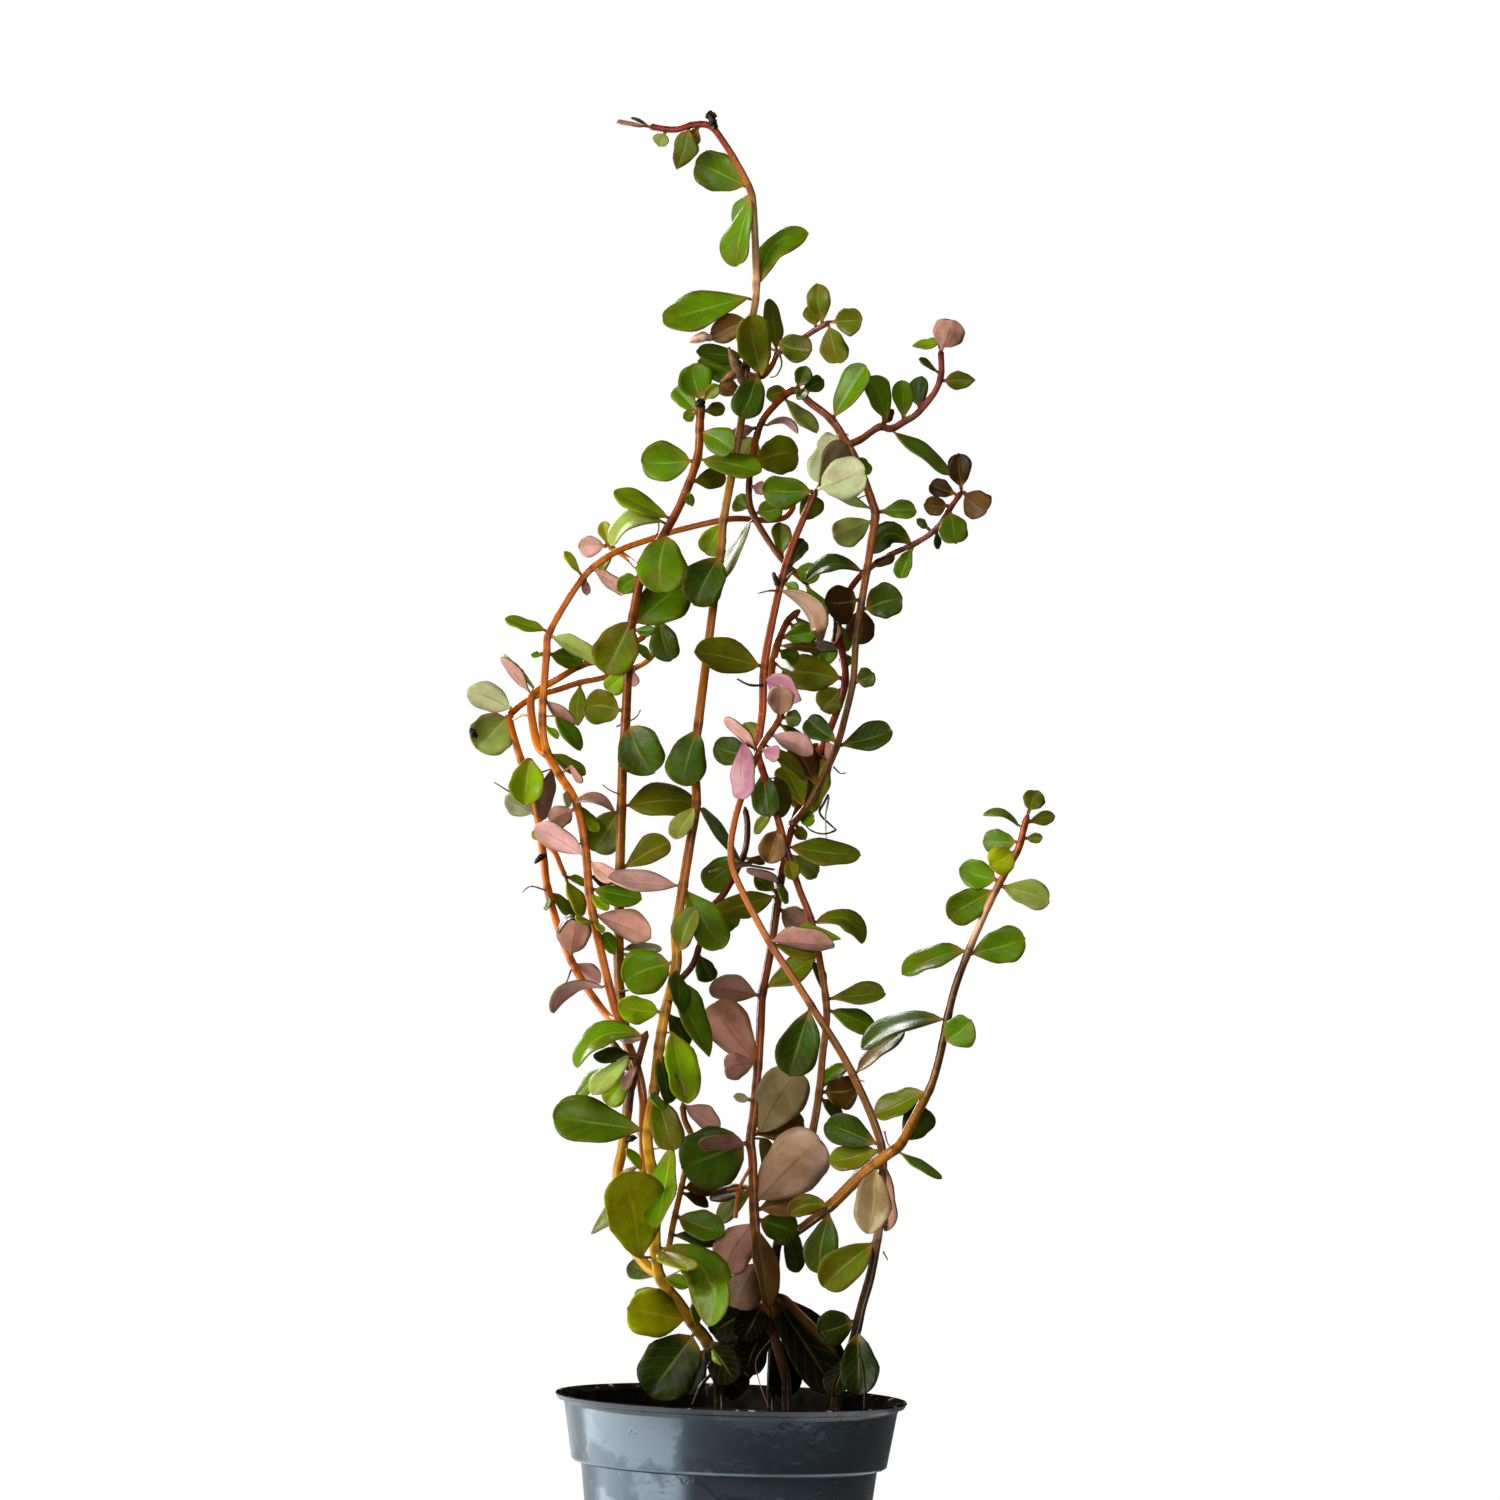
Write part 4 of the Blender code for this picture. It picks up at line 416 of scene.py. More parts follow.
baseLeftShoot = {
    "node": "base_left_shoot",
    "radii": (0.5, 0.45),
    "tone": "stem_amber",
    "parent": "tall_stem",
    "path": [
        (-11.2, 69, -4.2), (-9.8, 70.8, -2), (-9.2, 74.2, 0), (-8.2, 79.5, 1.5), (-7.4, 83.5),
        (-6.9, 86.8), (-8, 89.3), (-8.4, 91.8, 2.5),
    ],
    "leaves": [
        (-9.2, 73, -2.2, 72.4, 1, 2.2, "e", "dark"),
        (-9.2, 75.8, -1.7, 73.4, -2, 4.2, "e", "green"),
        (-8.4, 79, -4, 77.4, 1, 1.6, "e", "brown"),
        (-8.4, 91.8, -2.9, 88.3, -1, 3.2, "eu", "mauve"),
        (-8.2, 92, -2.9, 88.5, 1.5, 1.8, "e", "dark"),
        (-8.6, 79.4, -1.5, 80.4, 2, 4, "e", "bronze"),
    ],
}

centerStem = {
    "node": "center_stem",
    "radii": (0.8, 0.7, 0.62),
    "tone": "stem",
    "bands": [
        # The first two bands, dark by the medium, are partly painted shade.
        (50, (0.14, 0.07, 0.02)), (60, (0.34, 0.18, 0.04)), (66, (0.60, 0.38, 0.16)),
        (78, (0.50, 0.27, 0.08)), (100, (0.44, 0.20, 0.04)), (132, (0.40, 0.17, 0.03)),
    ],
    "path": [
        (8, 46.5, 2), (7.8, 52), (7.2, 54.5), (5.8, 59), (5.2, 61.2, 0.5), (3.5, 68.5, -0.5),
        (2.5, 75.2, -1.5), (1.9, 84), (1.5, 86.6, -2), (1.9, 91), (2.2, 96.8), (2.4, 102, -1.5),
        (2.5, 107.4), (3.5, 114, 1), (4.4, 122.3, 2.5), (5, 127.5, 4), (6, 132, 5),
    ],
    "leaves": [
        # The near-black leaves low down here are painted shade.
        (4.8, 61.6, 2, 53.4, 1, 5, "o", "night"),
        (4.6, 60.6, -1.4, 52, 4, 6.6, "o", "night"),
        (5.4, 64.8, 14.6, 51.2, -3, 7.6, "o", "night"),
        (6, 64.8, 15, 56.8, -5.5, 2, "eu", "brown"),
        (6.4, 59.6, 9, 50.6, 3, 5, "o", "night"),
        (3.6, 70, 0, 62.8, -2, 5.6, "ou", "ash"),
        (2.6, 75, 5.4, 63.4, -2, 3.2, "e", "bronze"),
        (2.4, 75.8, -1.6, 68, 0, 5.8, "ou", "mauve"),
        (2.9, 77.8, 11.4, 87.4, -3, 8.6, "ou", "ash"),
        (2.6, 75.6, 8.5, 73.6, 7, 4.6, "o", "dark"),
        (1, 86.6, -8.2, 82.4, 1, 9, "o", "dark"),
        (2.8, 88, 8, 96.9, 0, 7.4, "ou", "tan"),
        (1.9, 92.6, -1, 93, -1, 1.2, "e", "pale"),
        (2.6, 97.6, -2.7, 96.7, -3, 3.8, "ou", "mauve"),
        (2.2, 97.4, -4.6, 106, -2, 6.3, "ou", "mauve"),
        (2.4, 107.4, -5.1, 108.5, -2, 4, "eu", "mauve"),
        (2.9, 108.4, 9.5, 113.4, -1, 3.4, "e", "olive"),
        (4.1, 120.2, 8.6, 117.6, 1, 3.8, "o", "mauve"),
        (4.2, 121.8, -4.7, 119.2, -2, 3.4, "e", "olive"),
        (4.3, 122, 0.9, 124.6, 0, 2.4, "e", "olive"),
        (0, 126, -4.9, 125.4, -6, 1.1, "eu", "mauve"),
        (4.6, 123.3, 0.4, 125.8, -3, 1.7, "eu", "pink"),
        (4.7, 124.5, 5.5, 120.7, -2, 1.3, "e", "lime"),
        (0.8, 86.2, -6, 86.6, -1, 3, "eu", "mauve"),
        (3, 87, 5, 81.8, 3, 2.6, "e", "olive"),
        (1.2, 79.6, -4, 78.4, 2, 2, "e", "brown"),
        (4.4, 63, -3.2, 58.8, 2.5, 6.2, "o", "night"),
        (2.4, 87.4, 9.4, 89.6, 2.5, 4.6, "o", "bronze"),
        (4.6, 64.4, 1.4, 58, 1.6, 4.8, "o", "night"),
        (2.4, 94.4, 4.3, 88.4, 3, 3, "e", "brown"),
        (1.9, 79.8, -3.4, 76.2, 4, 3.6, "o", "olive"),
        (2.5, 76.6, 9.2, 78.8, 5, 4, "o", "bronze"),
    ],
    "bits": [
        ("amber", (0.34, 0.3, 0.25), ((-0.3, 75.5, -2), (0.1, 79.5, -2), (1.6, 82.8, -1))),
        ("amber", (0.22, 0.26, 0.2), ((1.2, 79, -0.5), (-0.2, 79.7, -2.4), (-1.6, 79.5, -2.4))),
        ("root", (0.1, 0.06), ((5.9, 59, -1), (3.4, 55.4, -4), (4, 52, -6), (5.4, 48.6, -7))),
    ],
}

rightArchStem = {
    "node": "right_arch_stem",
    "radii": (0.55, 0.5, 0.62, 0.5, 0.42),
    "tone": "stem",
    "bands": [
        (132, (0.34, 0.19, 0.05)), (160, (0.38, 0.24, 0.06)), (178, (0.50, 0.25, 0.06)),
        (194, (0.44, 0.20, 0.05)),
    ],
    "parent": "center_stem",
    "path": [
        (6, 132, 5), (7.8, 134.3, 4), (9, 136.3, 2.5), (10.4, 139.4, 0), (12, 143.4, -2),
        (13, 147.5, -3), (14, 152.8, -3), (14.2, 158.5), (14.8, 163.8), (15.4, 168.3),
        (16.1, 174, -2), (16.4, 176.6), (16, 178), (14, 183, -1.5), (12.1, 186.4),
        (9.7, 189.9, -0.5), (6.5, 192.3), (4.2, 194, 0), (1.5, 191.8), (-0.6, 188.6, 0),
        (-1.5, 183.5), (-1.8, 180.6), (-1.6, 177.5), (-0.5, 175, 0.5), (2, 171.3), (3.2, 169.9, 1),
        (5, 168), (7.2, 166.3, 3),
    ],
    "leaves": [
        (12.6, 143.4, 19.7, 145.8, -1, 3.9, "o", "dark"),
        (14, 152.2, 16.8, 153.8, -1, 2.9, "o", "dark"),
        (14.8, 163.8, 14.6, 157.8, 2, 4.2, "o", "brown"),
        (14.7, 164.2, 10, 163.9, -2, 5.4, "o", "brown"),
        (15.2, 163, 20.5, 164.8, -1, 5, "o", "dark"),
        (15.1, 168.8, 6.8, 167, -1, 2.2, "e", "dark", 1.6),
        (16.2, 176, 10.2, 173.3, -2, 4.2, "ou", "soft"),
        (16.4, 177, 22.1, 177.6, 0, 2.7, "o", "green"),
        (16.2, 177.2, 10, 179.8, 0, 1.2, "eu", "soft"),
        (12.9, 185.4, 15.2, 182.2, 1, 2.8, "o", "green"),
        (10.4, 188.2, 8, 181.1, -2, 4.8, "ou", "pale"),
        (9.7, 190, 14.1, 197.8, -1, 4, "o", "green"),
        (4.8, 194.4, 5.7, 197.3, -1, 2.5, "o", "dark"),
        (4.9, 194, 8.3, 195.8, 1, 2.4, "o", "dark"),
        (4.4, 193.6, 5.8, 193.2, -3, 1.5, "e", "dark"),
        (3, 193, 7.9, 188.4, -1, 2.2, "e", "soft"),
        (3.8, 194, 0.3, 193.2, 1, 2.4, "e", "olive"),
        (-0.5, 189, 5.1, 188, 1, 0.9, "eu", "pink", 1.3),
        (-1.3, 187.8, -3.4, 183.9, 1, 3.9, "ou", "soft"),
        (-0.9, 188.6, -4.6, 187.5, -1, 1.8, "eu", "mauve"),
        (-1, 183.2, 5.2, 185.2, 2, 5.6, "o", "olive"),
        (-1.6, 180.3, 0.9, 179.7, -1, 1.9, "eu", "mauve"),
        (-1.6, 176.4, -3.7, 178.4, 1, 2.8, "o", "green"),
        (-1, 175.9, 2.9, 177.4, -1, 3.4, "o", "green"),
        (-1.6, 175, -6.2, 165.9, -4, 2.1, "e", "soft"),
        (3.2, 170, 2.9, 174.9, 0, 2.8, "o", "olive"),
        (4.4, 168.6, 6.3, 172.6, 1, 2.6, "o", "dark"),
        (5.2, 168.6, 8.8, 168, 0, 3, "o", "green"),
        (7.4, 167, 9.4, 161.3, -1, 3, "o", "green"),
        (15.6, 168.8, 19.2, 171.2, 1, 1.6, "e", "brown"),
        (7.8, 134.3, 4.4, 140.6, 3, 4.2, "o", "olive"),
        (9.6, 137.4, 6, 143.4, 3, 3.6, "o", "brown"),
        (12.2, 143.8, 7.6, 147, 2.5, 3.4, "o", "dark"),
        (12.2, 186.2, 7.6, 186.2, 2.5, 3.4, "o", "pale"),
    ],
    "bits": [
        ("root", (0.22, 0.16, 0.12, 0.08), (
            (0.6, 199.8, -0.8), (1.8, 199.2, -1.5), (2.3, 197.6, -1.5), (1.6, 196, -1.5),
            (0.7, 195.7, -1.5),
        )),
        ("root", (0.15, 0.08), ((10.4, 189.6, -0.5), (11.3, 188.3, -1), (12.2, 187.8, -1))),
        ("root", (0.15, 0.08), ((13.3, 178.6, -0.5), (14.9, 179.3, -1))),
        ("white", (0.3, 0.6, 0.3), ((3, 155.4, -2), (4.2, 154.8, -3), (5.5, 153.9, -3))),
    ],
}

rightSideShoot = {
    "node": "right_side_shoot",
    "radii": (0.6, 0.58, 0.42),
    "tone": "stem",
    "bands": [
        (133, (0.42, 0.16, 0.03)), (168, (0.42, 0.14, 0.05)), (173, (0.50, 0.28, 0.22)),
        (180, (0.52, 0.20, 0.12)),
    ],
    "parent": "center_stem",
    "path": [
        (6, 132, 5), (6.7, 134.3, 6.4), (8, 139, 7.5), (10.2, 144, 8), (12.8, 152.5, 8),
        (11.6, 160, 8), (12, 163.5), (14.2, 167.5, 8), (18, 170.6, 7), (22.3, 172.8, 6),
        (25.2, 175, 5), (27.2, 178.2, 4), (28.7, 180.5, 4),
    ],
    "leaves": [
        (10.6, 141.6, 7.4, 133.6, -1, 4.8, "o", "olive"),
        (10.2, 144.3, 8.6, 146.4, 0, 2.2, "e", "dark"),
        (12.8, 153, 3.8, 153.7, 0, 5.2, "e", "olive"),
        (12.7, 152.2, 9.6, 148.7, -1, 4.2, "o", "olive"),
        (22.2, 173.2, 16.4, 171.2, -2, 3.6, "e", "dark", 2),
        (22, 172.6, 20, 167.8, 0, 2.4, "o", "green"),
        (24.6, 174.4, 22.4, 176.2, 0, 1.2, "e", "dark"),
        (25.2, 174.8, 25.6, 172, 1, 1, "e", "dark"),
        (27, 178.2, 23.5, 178.3, -1, 2.8, "o", "bronze"),
        (27, 177.8, 28, 172.9, -2, 4.2, "o", "green"),
        (28.2, 180, 24, 181.2, 1, 2.7, "o", "brown"),
        (28.8, 180.4, 32.3, 177.5, -1, 4.3, "ou", "bronze"),
        (28.7, 180.8, 28, 185.7, 0, 3.4, "o", "brown"),
        (6.6, 133.2, 8.9, 132.6, -2, 2.2, "o", "green"),
        (6, 132.4, 7.8, 129.9, -1, 1.8, "e", "olive"),
        (10.6, 144.2, 11.7, 141.2, -2, 1.8, "eu", "mauve"),
        (9.6, 144.4, 8.2, 142.2, 1, 1.8, "e", "brown"),
        (9, 142.2, 3.8, 140.8, 2, 2.8, "e", "olive"),
        (11.9, 161.6, 10.9, 158, -1, 1.2, "e", "mauve"),
        (11.9, 161, 13.2, 157, 1, 2, "e", "green"),
        (11.8, 159.4, 9.6, 155.2, -2, 2.4, "o", "green"),
        (12.4, 157.4, 13, 154.6, 1, 2, "o", "green"),
        (11, 143.6, 9.2, 136.6, 1.5, 3.4, "o", "brown"),
    ],
    "bits": [
        ("dark", (0.22, 0.2, 0.16, 0.14, 0.12), (
            (11, 136.4, -0.6), (10.3, 135, -1), (9.8, 134, -1), (10.2, 133.2, -1), (11.2, 132.3, -1),
            (12.3, 131.4, -1),
        )),
        ("dark", (0.16, 0.14, 0.12, 0.1), (
            (12.3, 131.4, -1), (11.2, 130.9, -1), (10, 130.8, -1), (8.7, 131.2, -1), (7.9, 131.9, -1),
        )),
        ("pale", (0.16, 0.12, 0.08), (
            (11.1, 136, -0.8), (10.7, 133.4, -1.6), (10.8, 131.6, -1.6), (10.9, 129.8, -1.6),
        )),
        ("root", (0.14, 0.08), ((11.6, 140.4, -0.5), (12.6, 139.5, -1), (13.4, 139.6, -1))),
    ],
}

upperRightShoot = {
    "node": "upper_right_shoot",
    "radii": (0.55, 0.45),
    "tone": "stem",
    "bands": [
        (187, (0.38, 0.20, 0.06)), (190, (0.60, 0.32, 0.24)), (196, (0.58, 0.30, 0.24)),
        (201, (0.42, 0.16, 0.10)),
    ],
    "parent": "right_arch_stem",
    "path": [
        (12.1, 186.4, -1.2), (14, 187.3, -0.5), (15.5, 188.5, 0.5), (16.7, 189.2, 1), (18.2, 188.9),
        (20, 190, 2), (21.8, 191.2), (24.2, 194.3, 3), (25.1, 197, 3.5), (24.9, 200.6, 4),
    ],
    "leaves": [
        (16.7, 189.4, 18.5, 191.8, 1, 1.6, "p", "brown"),
        (17.5, 190.4, 15.3, 196.3, 0, 3.6, "o", "green"),
        (18, 188.8, 26.7, 182.7, -1, 2.3, "e", "green"),
        (19.8, 190.2, 19.4, 195.7, -1, 3, "o", "green"),
        (22, 191.6, 22.2, 196.6, 1, 3, "e", "dark"),
        (25, 195.8, 30.1, 196.3, 0, 2.7, "p", "olive"),
        (25, 197.2, 22, 199.2, -1, 0.9, "e", "olive"),
        (24.6, 201.4, 20.8, 201.1, 1, 1.6, "p", "lime"),
        (24.7, 200.2, 26.6, 204.7, -1, 4.6, "ou", "mauve"),
    ],
}

topSmallShoot = {
    "node": "top_small_shoot",
    "radii": (0.5, 0.4),
    "tone": "stem",
    "parent": "tall_stem",
    "path": [
        (-2.8, 196, -1.2), (-0.5, 195.8, -0.5), (0.9, 197.5, 0.5), (1.6, 199.2, 1), (3.4, 200.1),
        (6.6, 202.5, 0), (9.1, 204, -1),
    ],
    "leaves": [
        (1.6, 199.4, 0.5, 207, 1, 2.6, "e", "olive"),
        (1.8, 200.6, 6.4, 199.8, -2, 4, "o", "olive"),
        (6.9, 202.7, 6.3, 206.4, 1, 2.6, "o", "olive"),
        (8, 203.4, 7.1, 209.3, 0, 3.4, "e", "olive"),
        (8.8, 203.6, 10.5, 198.3, -1, 4, "o", "olive"),
        (9.1, 204, 13.4, 204.4, -1, 3.9, "o", "olive"),
    ],
}

innerStem = {
    "node": "inner_stem",
    "radii": (0.8, 0.7, 0.55, 0.52, 0.62, 0.5),
    "tone": "stem",
    "bands": [
        # The first two bands, dark low down, are partly painted shade.
        (50, (0.10, 0.06, 0.02)), (70, (0.20, 0.11, 0.03)), (92, (0.40, 0.25, 0.12)),
        (110, (0.40, 0.22, 0.07)), (124, (0.46, 0.19, 0.06)), (150, (0.50, 0.21, 0.06)),
        (180, (0.42, 0.18, 0.04)),
    ],
    "path": [
        (5.7, 46.5, 4.6), (5.7, 60, 4.6), (5.6, 68, 4), (5.9, 72.2, 3), (7.2, 75), (8.3, 79, 1),
        (9.2, 84), (10.3, 88, -1.5), (11.1, 93.8, -3), (11.4, 99, -4), (11.8, 105.3, -5),
        (10.7, 112), (9.1, 118.5, -5), (7.4, 122.5), (5.4, 128, -4.5), (3, 135.5), (1.4, 139.8, -4),
        (0.7, 142.5), (1.2, 148), (1.3, 155, -4), (2.8, 164.3, -4.5), (4.2, 170.3),
        (6.5, 176.7, -5), (7.9, 180, -5),
    ],
    "leaves": [
        (7, 75, 9, 68.1, 2, 3.1, "e", "dark"),
        (11.2, 94, 16.4, 94.6, 0, 4.8, "o", "brown"),
        (11.1, 93.4, 14.6, 90.4, 1, 1.9, "e", "dark"),
        (11.3, 94.4, 14.5, 98.4, 1, 2.4, "e", "green"),
        (11.8, 105.6, 19.3, 103.4, 1, 3, "e", "green"),
        (11.7, 107.2, 19.9, 108.8, 0, 2.8, "o", "olive"),
        (11.4, 107.6, 9.9, 112.5, 2, 1.5, "e", "dark"),
        (9.2, 118.4, 17, 115.5, 0, 2.7, "e", "olive", 2),
        (5.6, 127.5, 6.3, 124.3, -2, 2.3, "e", "olive"),
        (5.8, 128, 9.9, 124.7, 1, 2.9, "o", "soft"),
        (5.3, 128.8, 15.9, 128.1, 0, 3.6, "e", "olive"),
        (4, 131.8, 2.8, 126.6, -1, 3.9, "o", "bronze"),
        (3.3, 134.2, 0.4, 130.7, 2, 1.6, "e", "olive"),
        (1.6, 139.8, 2.6, 133.1, -1.5, 4.2, "o", "dark"),
        (0.7, 142.8, -1.3, 146.3, 1, 3, "e", "olive"),
        (1.2, 152.6, 7, 149.8, 0, 3.8, "pu", "violet"),
        (1.3, 154.6, -8.7, 156.3, -3, 4.9, "e", "olive"),
        (3.2, 165.8, 8.9, 158.2, -2, 2.8, "eu", "ash", 1.7),
        (6.4, 179, 7.8, 175.8, 3, 3.6, "o", "olive"),
        (7.6, 179.8, 0.4, 179.6, -1, 4.7, "o", "green"),
        (7.9, 180.2, 14.8, 183, -1, 6, "ou", "pale"),
        (7.9, 180.4, 11.6, 186.5, 1, 3.6, "ou", "tan"),
        (3.4, 138.6, 5, 133, 2, 2.6, "e", "olive"),
        (5, 168.4, 2.2, 166.4, 2, 1.6, "e", "dark"),
        (3, 166.4, 5.6, 165.7, -1, 1.3, "e", "green"),
    ],
    "bits": [
        ("root", (0.2, 0.14, 0.1), ((2.9, 165.3, -0.5), (1.4, 165.2, -1.2), (0, 164.8, -1.2))),
        ("dark", (0.2, 0.14), ((1.2, 151.7, -0.5), (-0.8, 151.7, -1.2), (-2.6, 152.5, -1.2))),
        ("dark", (0.4, 0.42, 0.2), ((2.9, 166.2, -0.6), (2.4, 167, -1), (2.1, 167.9, -1))),
        ("black", (0.2, 0.28, 0.18), ((11, 161.8, -0.6), (11.2, 160.2, -1), (11, 158.2, -1))),
    ],
}

rightBranch = {
    "node": "right_branch",
    "radii": (0.6, 0.88, 0.6, 0.55, 0.48),
    "tone": "stem",
    "bands": [
        # The first band, dark low down, is partly painted shade.
        (70, (0.20, 0.11, 0.03)), (80, (0.42, 0.26, 0.05)), (86, (0.54, 0.33, 0.06)),
        (93, (0.44, 0.27, 0.06)), (100, (0.30, 0.19, 0.06)), (112, (0.34, 0.21, 0.06)),
        (119, (0.70, 0.54, 0.40)), (125, (0.66, 0.36, 0.20)), (131, (0.62, 0.28, 0.12)),
    ],
    "parent": "inner_stem",
    "path": [
        (5.9, 72.2, 3), (8, 73.5, 1.5), (10, 75, -1), (13.4, 77.9, -5), (17.5, 82.2, -9.5),
        (21.3, 85.4, -13), (23, 86.9, -13), (25, 91), (26.8, 94.7, -12), (28, 99),
        (29.1, 105.3, -12), (30, 109.5), (31.7, 114.6), (33.2, 118.5), (35.7, 124.3, -12),
        (38.3, 129.4), (39.1, 132.8, -12), (39.6, 134.6, -12),
    ],
    "leaves": [
        (13, 78.8, 7.4, 76.3, -1, 3, "e", "olive", 0.6),
        (13.4, 77.4, 11.9, 68, -1, 5, "o", "dark"),
        (19.2, 84.4, 18.7, 74.2, -2, 5.2, "e", "tan"),
        (22.3, 86.2, 29, 82.2, -1, 1.2, "e", "green"),
        (23.6, 86.6, 27, 92, 3, 4.6, "o", "dark"),
        (26.5, 95, 18.8, 91.3, 1, 3.5, "e", "olive"),
        (28, 101.7, 32.4, 104.8, -3, 4.8, "o", "green"),
        (28.6, 105.6, 17, 100.2, 0, 2.8, "e", "dark", 1.5),
        (31.3, 115.4, 22.3, 111.3, 0, 3.1, "e", "green", 0.7),
        (31.9, 114.1, 39.7, 116.8, 0, 5.2, "o", "green"),
        (35.5, 123.6, 28.8, 119.4, 0, 4.7, "o", "green"),
        (35.8, 124.5, 43, 122.3, 0, 4, "o", "soft"),
        (35.8, 125.1, 30.2, 126.7, 1, 4, "e", "green"),
        (38.4, 129.5, 34.6, 127.2, -1.5, 4.2, "o", "yellow"),
        (38.6, 130.4, 33.2, 130.6, 1, 3.6, "o", "green"),
        (38.8, 131, 41.8, 131.3, 0, 1.5, "e", "olive"),
        (39.1, 133, 33.2, 134.3, 0, 1, "e", "green", 0.9),
        (39.2, 133.2, 43.4, 134.6, 1, 1.9, "e", "olive"),
        (39.6, 134.5, 40.7, 137.9, 0, 3.2, "o", "olive"),
    ],
    "bits": [
        ("root", (0.15, 0.08), ((20.6, 88.6, -0.5), (21.1, 86.9, -1), (21.8, 86.2, -1))),
    ],
}

rightBaseStem = {
    "node": "right_base_stem",
    "radii": (0.8, 0.62, 0.5, 0.55),
    "tone": "stem",
    "bands": [
        # The first two bands, dark low down by the medium, are partly painted shade.
        (50, (0.10, 0.06, 0.02)), (62, (0.17, 0.10, 0.03)), (71, (0.28, 0.18, 0.07)),
        (76, (0.56, 0.40, 0.30)), (86, (0.36, 0.24, 0.12)), (100, (0.48, 0.30, 0.12)),
        (118, (0.58, 0.34, 0.18)), (132, (0.56, 0.28, 0.10)), (160, (0.44, 0.22, 0.08)),
    ],
    "path": [
        (14.4, 46.5, -6), (15.8, 53), (17.3, 59, -6.5), (18.2, 63.5), (19.4, 68.5, -7.5),
        (20.4, 76, -8.5), (20.3, 79), (20.5, 85, -9.5), (19, 90, -10), (16.1, 96), (13.8, 100, -10),
        (10.1, 105.4), (6.9, 110), (4, 114), (1.2, 118.5), (-1.9, 124.4, -10), (-2.7, 128),
        (-2.3, 132), (-1.4, 135.6, -9.5), (0, 140), (1.5, 143.5, -9), (3.6, 146.9, -8),
        (3.8, 148.8, -5), (2.9, 151, -1), (2.3, 153.5, 0), (2.7, 156.5), (3.4, 159, 1),
        (4.5, 161.3, 2), (6.1, 162.6, 2),
    ],
    "leaves": [
        # The near-black and deep leaves low down here are painted shade.
        (16.2, 57.2, 14.6, 50.5, -2, 3.2, "o", "night"),
        (17.8, 60.6, 18.2, 51.2, -1, 5.4, "o", "deep"),
        (17.6, 61.8, 12.2, 59.6, 0, 5, "o", "deep"),
        (19.9, 73, 12.6, 66.2, -1, 5.4, "o", "olive"),
        (20.8, 84.8, 21.5, 74.5, 2, 2.4, "eu", "mauve"),
        (20.3, 86, 15.6, 81.2, 1, 1.6, "e", "dark"),
        (20.2, 86, 12.8, 84, 1, 3.5, "e", "olive"),
        (20.1, 86.4, 12.2, 89.4, 0, 4.6, "o", "dark"),
        (16.2, 96.8, 22.8, 103.2, 1, 2.4, "e", "tan"),
        (9.2, 105.8, 6.8, 96.2, -2, 6, "o", "dark"),
        (3.6, 114.8, 10, 113.5, 0, 2.4, "e", "olive"),
        (3.2, 115.3, 12.6, 115.6, -1, 3.6, "eu", "mauve"),
        (7.6, 117.2, 13.5, 116, 2, 1.6, "p", "lime"),
        (-1.3, 143.3, -1.1, 135.4, -2.5, 3.5, "ou", "violet"),
        (0.3, 141.4, -5.5, 142.8, 0, 4, "o", "dark"),
        (0.6, 142.6, -3.9, 147.2, -1, 1.9, "eu", "pink"),
        (1.2, 142.6, 4, 141.4, -2, 2.4, "ou", "violet"),
        (1.6, 143.6, 7.9, 138.8, 0, 1.8, "e", "olive"),
        (2.2, 144.8, 8.6, 142.3, 0, 3, "eu", "pink"),
        (3.4, 146.6, 8.3, 143, 1, 1.6, "e", "olive"),
        (3.8, 147, 6.5, 147, -1, 2.4, "o", "dark"),
        (3.7, 147, 3.6, 151.6, -2.5, 3.8, "o", "mauve"),
        (4.5, 161, 7.5, 158.5, 0, 3, "o", "green"),
        (2.8, 157, 6, 155.4, 1, 2.4, "o", "green"),
        (5.4, 162.2, 9.4, 156.6, 1, 2.4, "e", "green"),
        (2.5, 155, 5.5, 154.2, 2, 1.5, "e", "pale"),
        (3.4, 158.6, 8.2, 159.6, 1, 3, "o", "green"),
        (3, 157.4, 11.6, 157.4, 2, 1.6, "e", "brown"),
    ],
    "bits": [
        ("root", (0.15, 0.08), ((21, 71.4, -0.5), (21.7, 70.2, -1))),
        ("root", (0.15, 0.08), ((16.3, 95.9, -0.5), (17.5, 95.6, -1))),
        ("dark", (0.11, 0.06), ((16.9, 57.6, -0.6), (18.3, 55.8, -2), (18.9, 52, -3), (19, 48.4, -4))),
        ("dark", (0.11, 0.06), ((16.2, 55, -0.6), (14.6, 52.6, -2), (14.2, 48.6, -4))),
    ],
}

plans = [
    tallStem, leftStem, leftFrontShoot, leftBackShoot, leftArchStem, farLeftStem,
    farLeftSideShoot, farLeftSmallShoot, backStem, baseLeftShoot, centerStem, rightArchStem,
    rightSideShoot, upperRightShoot, topSmallShoot, innerStem, rightBranch, rightBaseStem,
]

# The layout: from what is seen to where it is, and the plain solids that the leaves keep clear of.


def seen(across, up, depth):
    far = (seeFrom + depth) / seeFrom
    return Vector((middleX + (across - middleX) * far, depth, middleZ + (up - middleZ) * far))


def asSeen(point):
    near = seeFrom / (seeFrom + point.y)
    return middleX + (point.x - middleX) * near, middleZ + (point.z - middleZ) * near


def fillDepths(path):
    known = [index for index, point in enumerate(path) if len(point) == 3]
    filled = []
    for index, point in enumerate(path):
        before = max(k for k in known if k <= index)
        after = min(k for k in known if k >= index)
        share = 0 if after == before else (index - before) / (after - before)
        depth = path[before][2] + (path[after][2] - path[before][2]) * share
        filled.append(seen(point[0], point[1], depth * depthScale))
    return filled


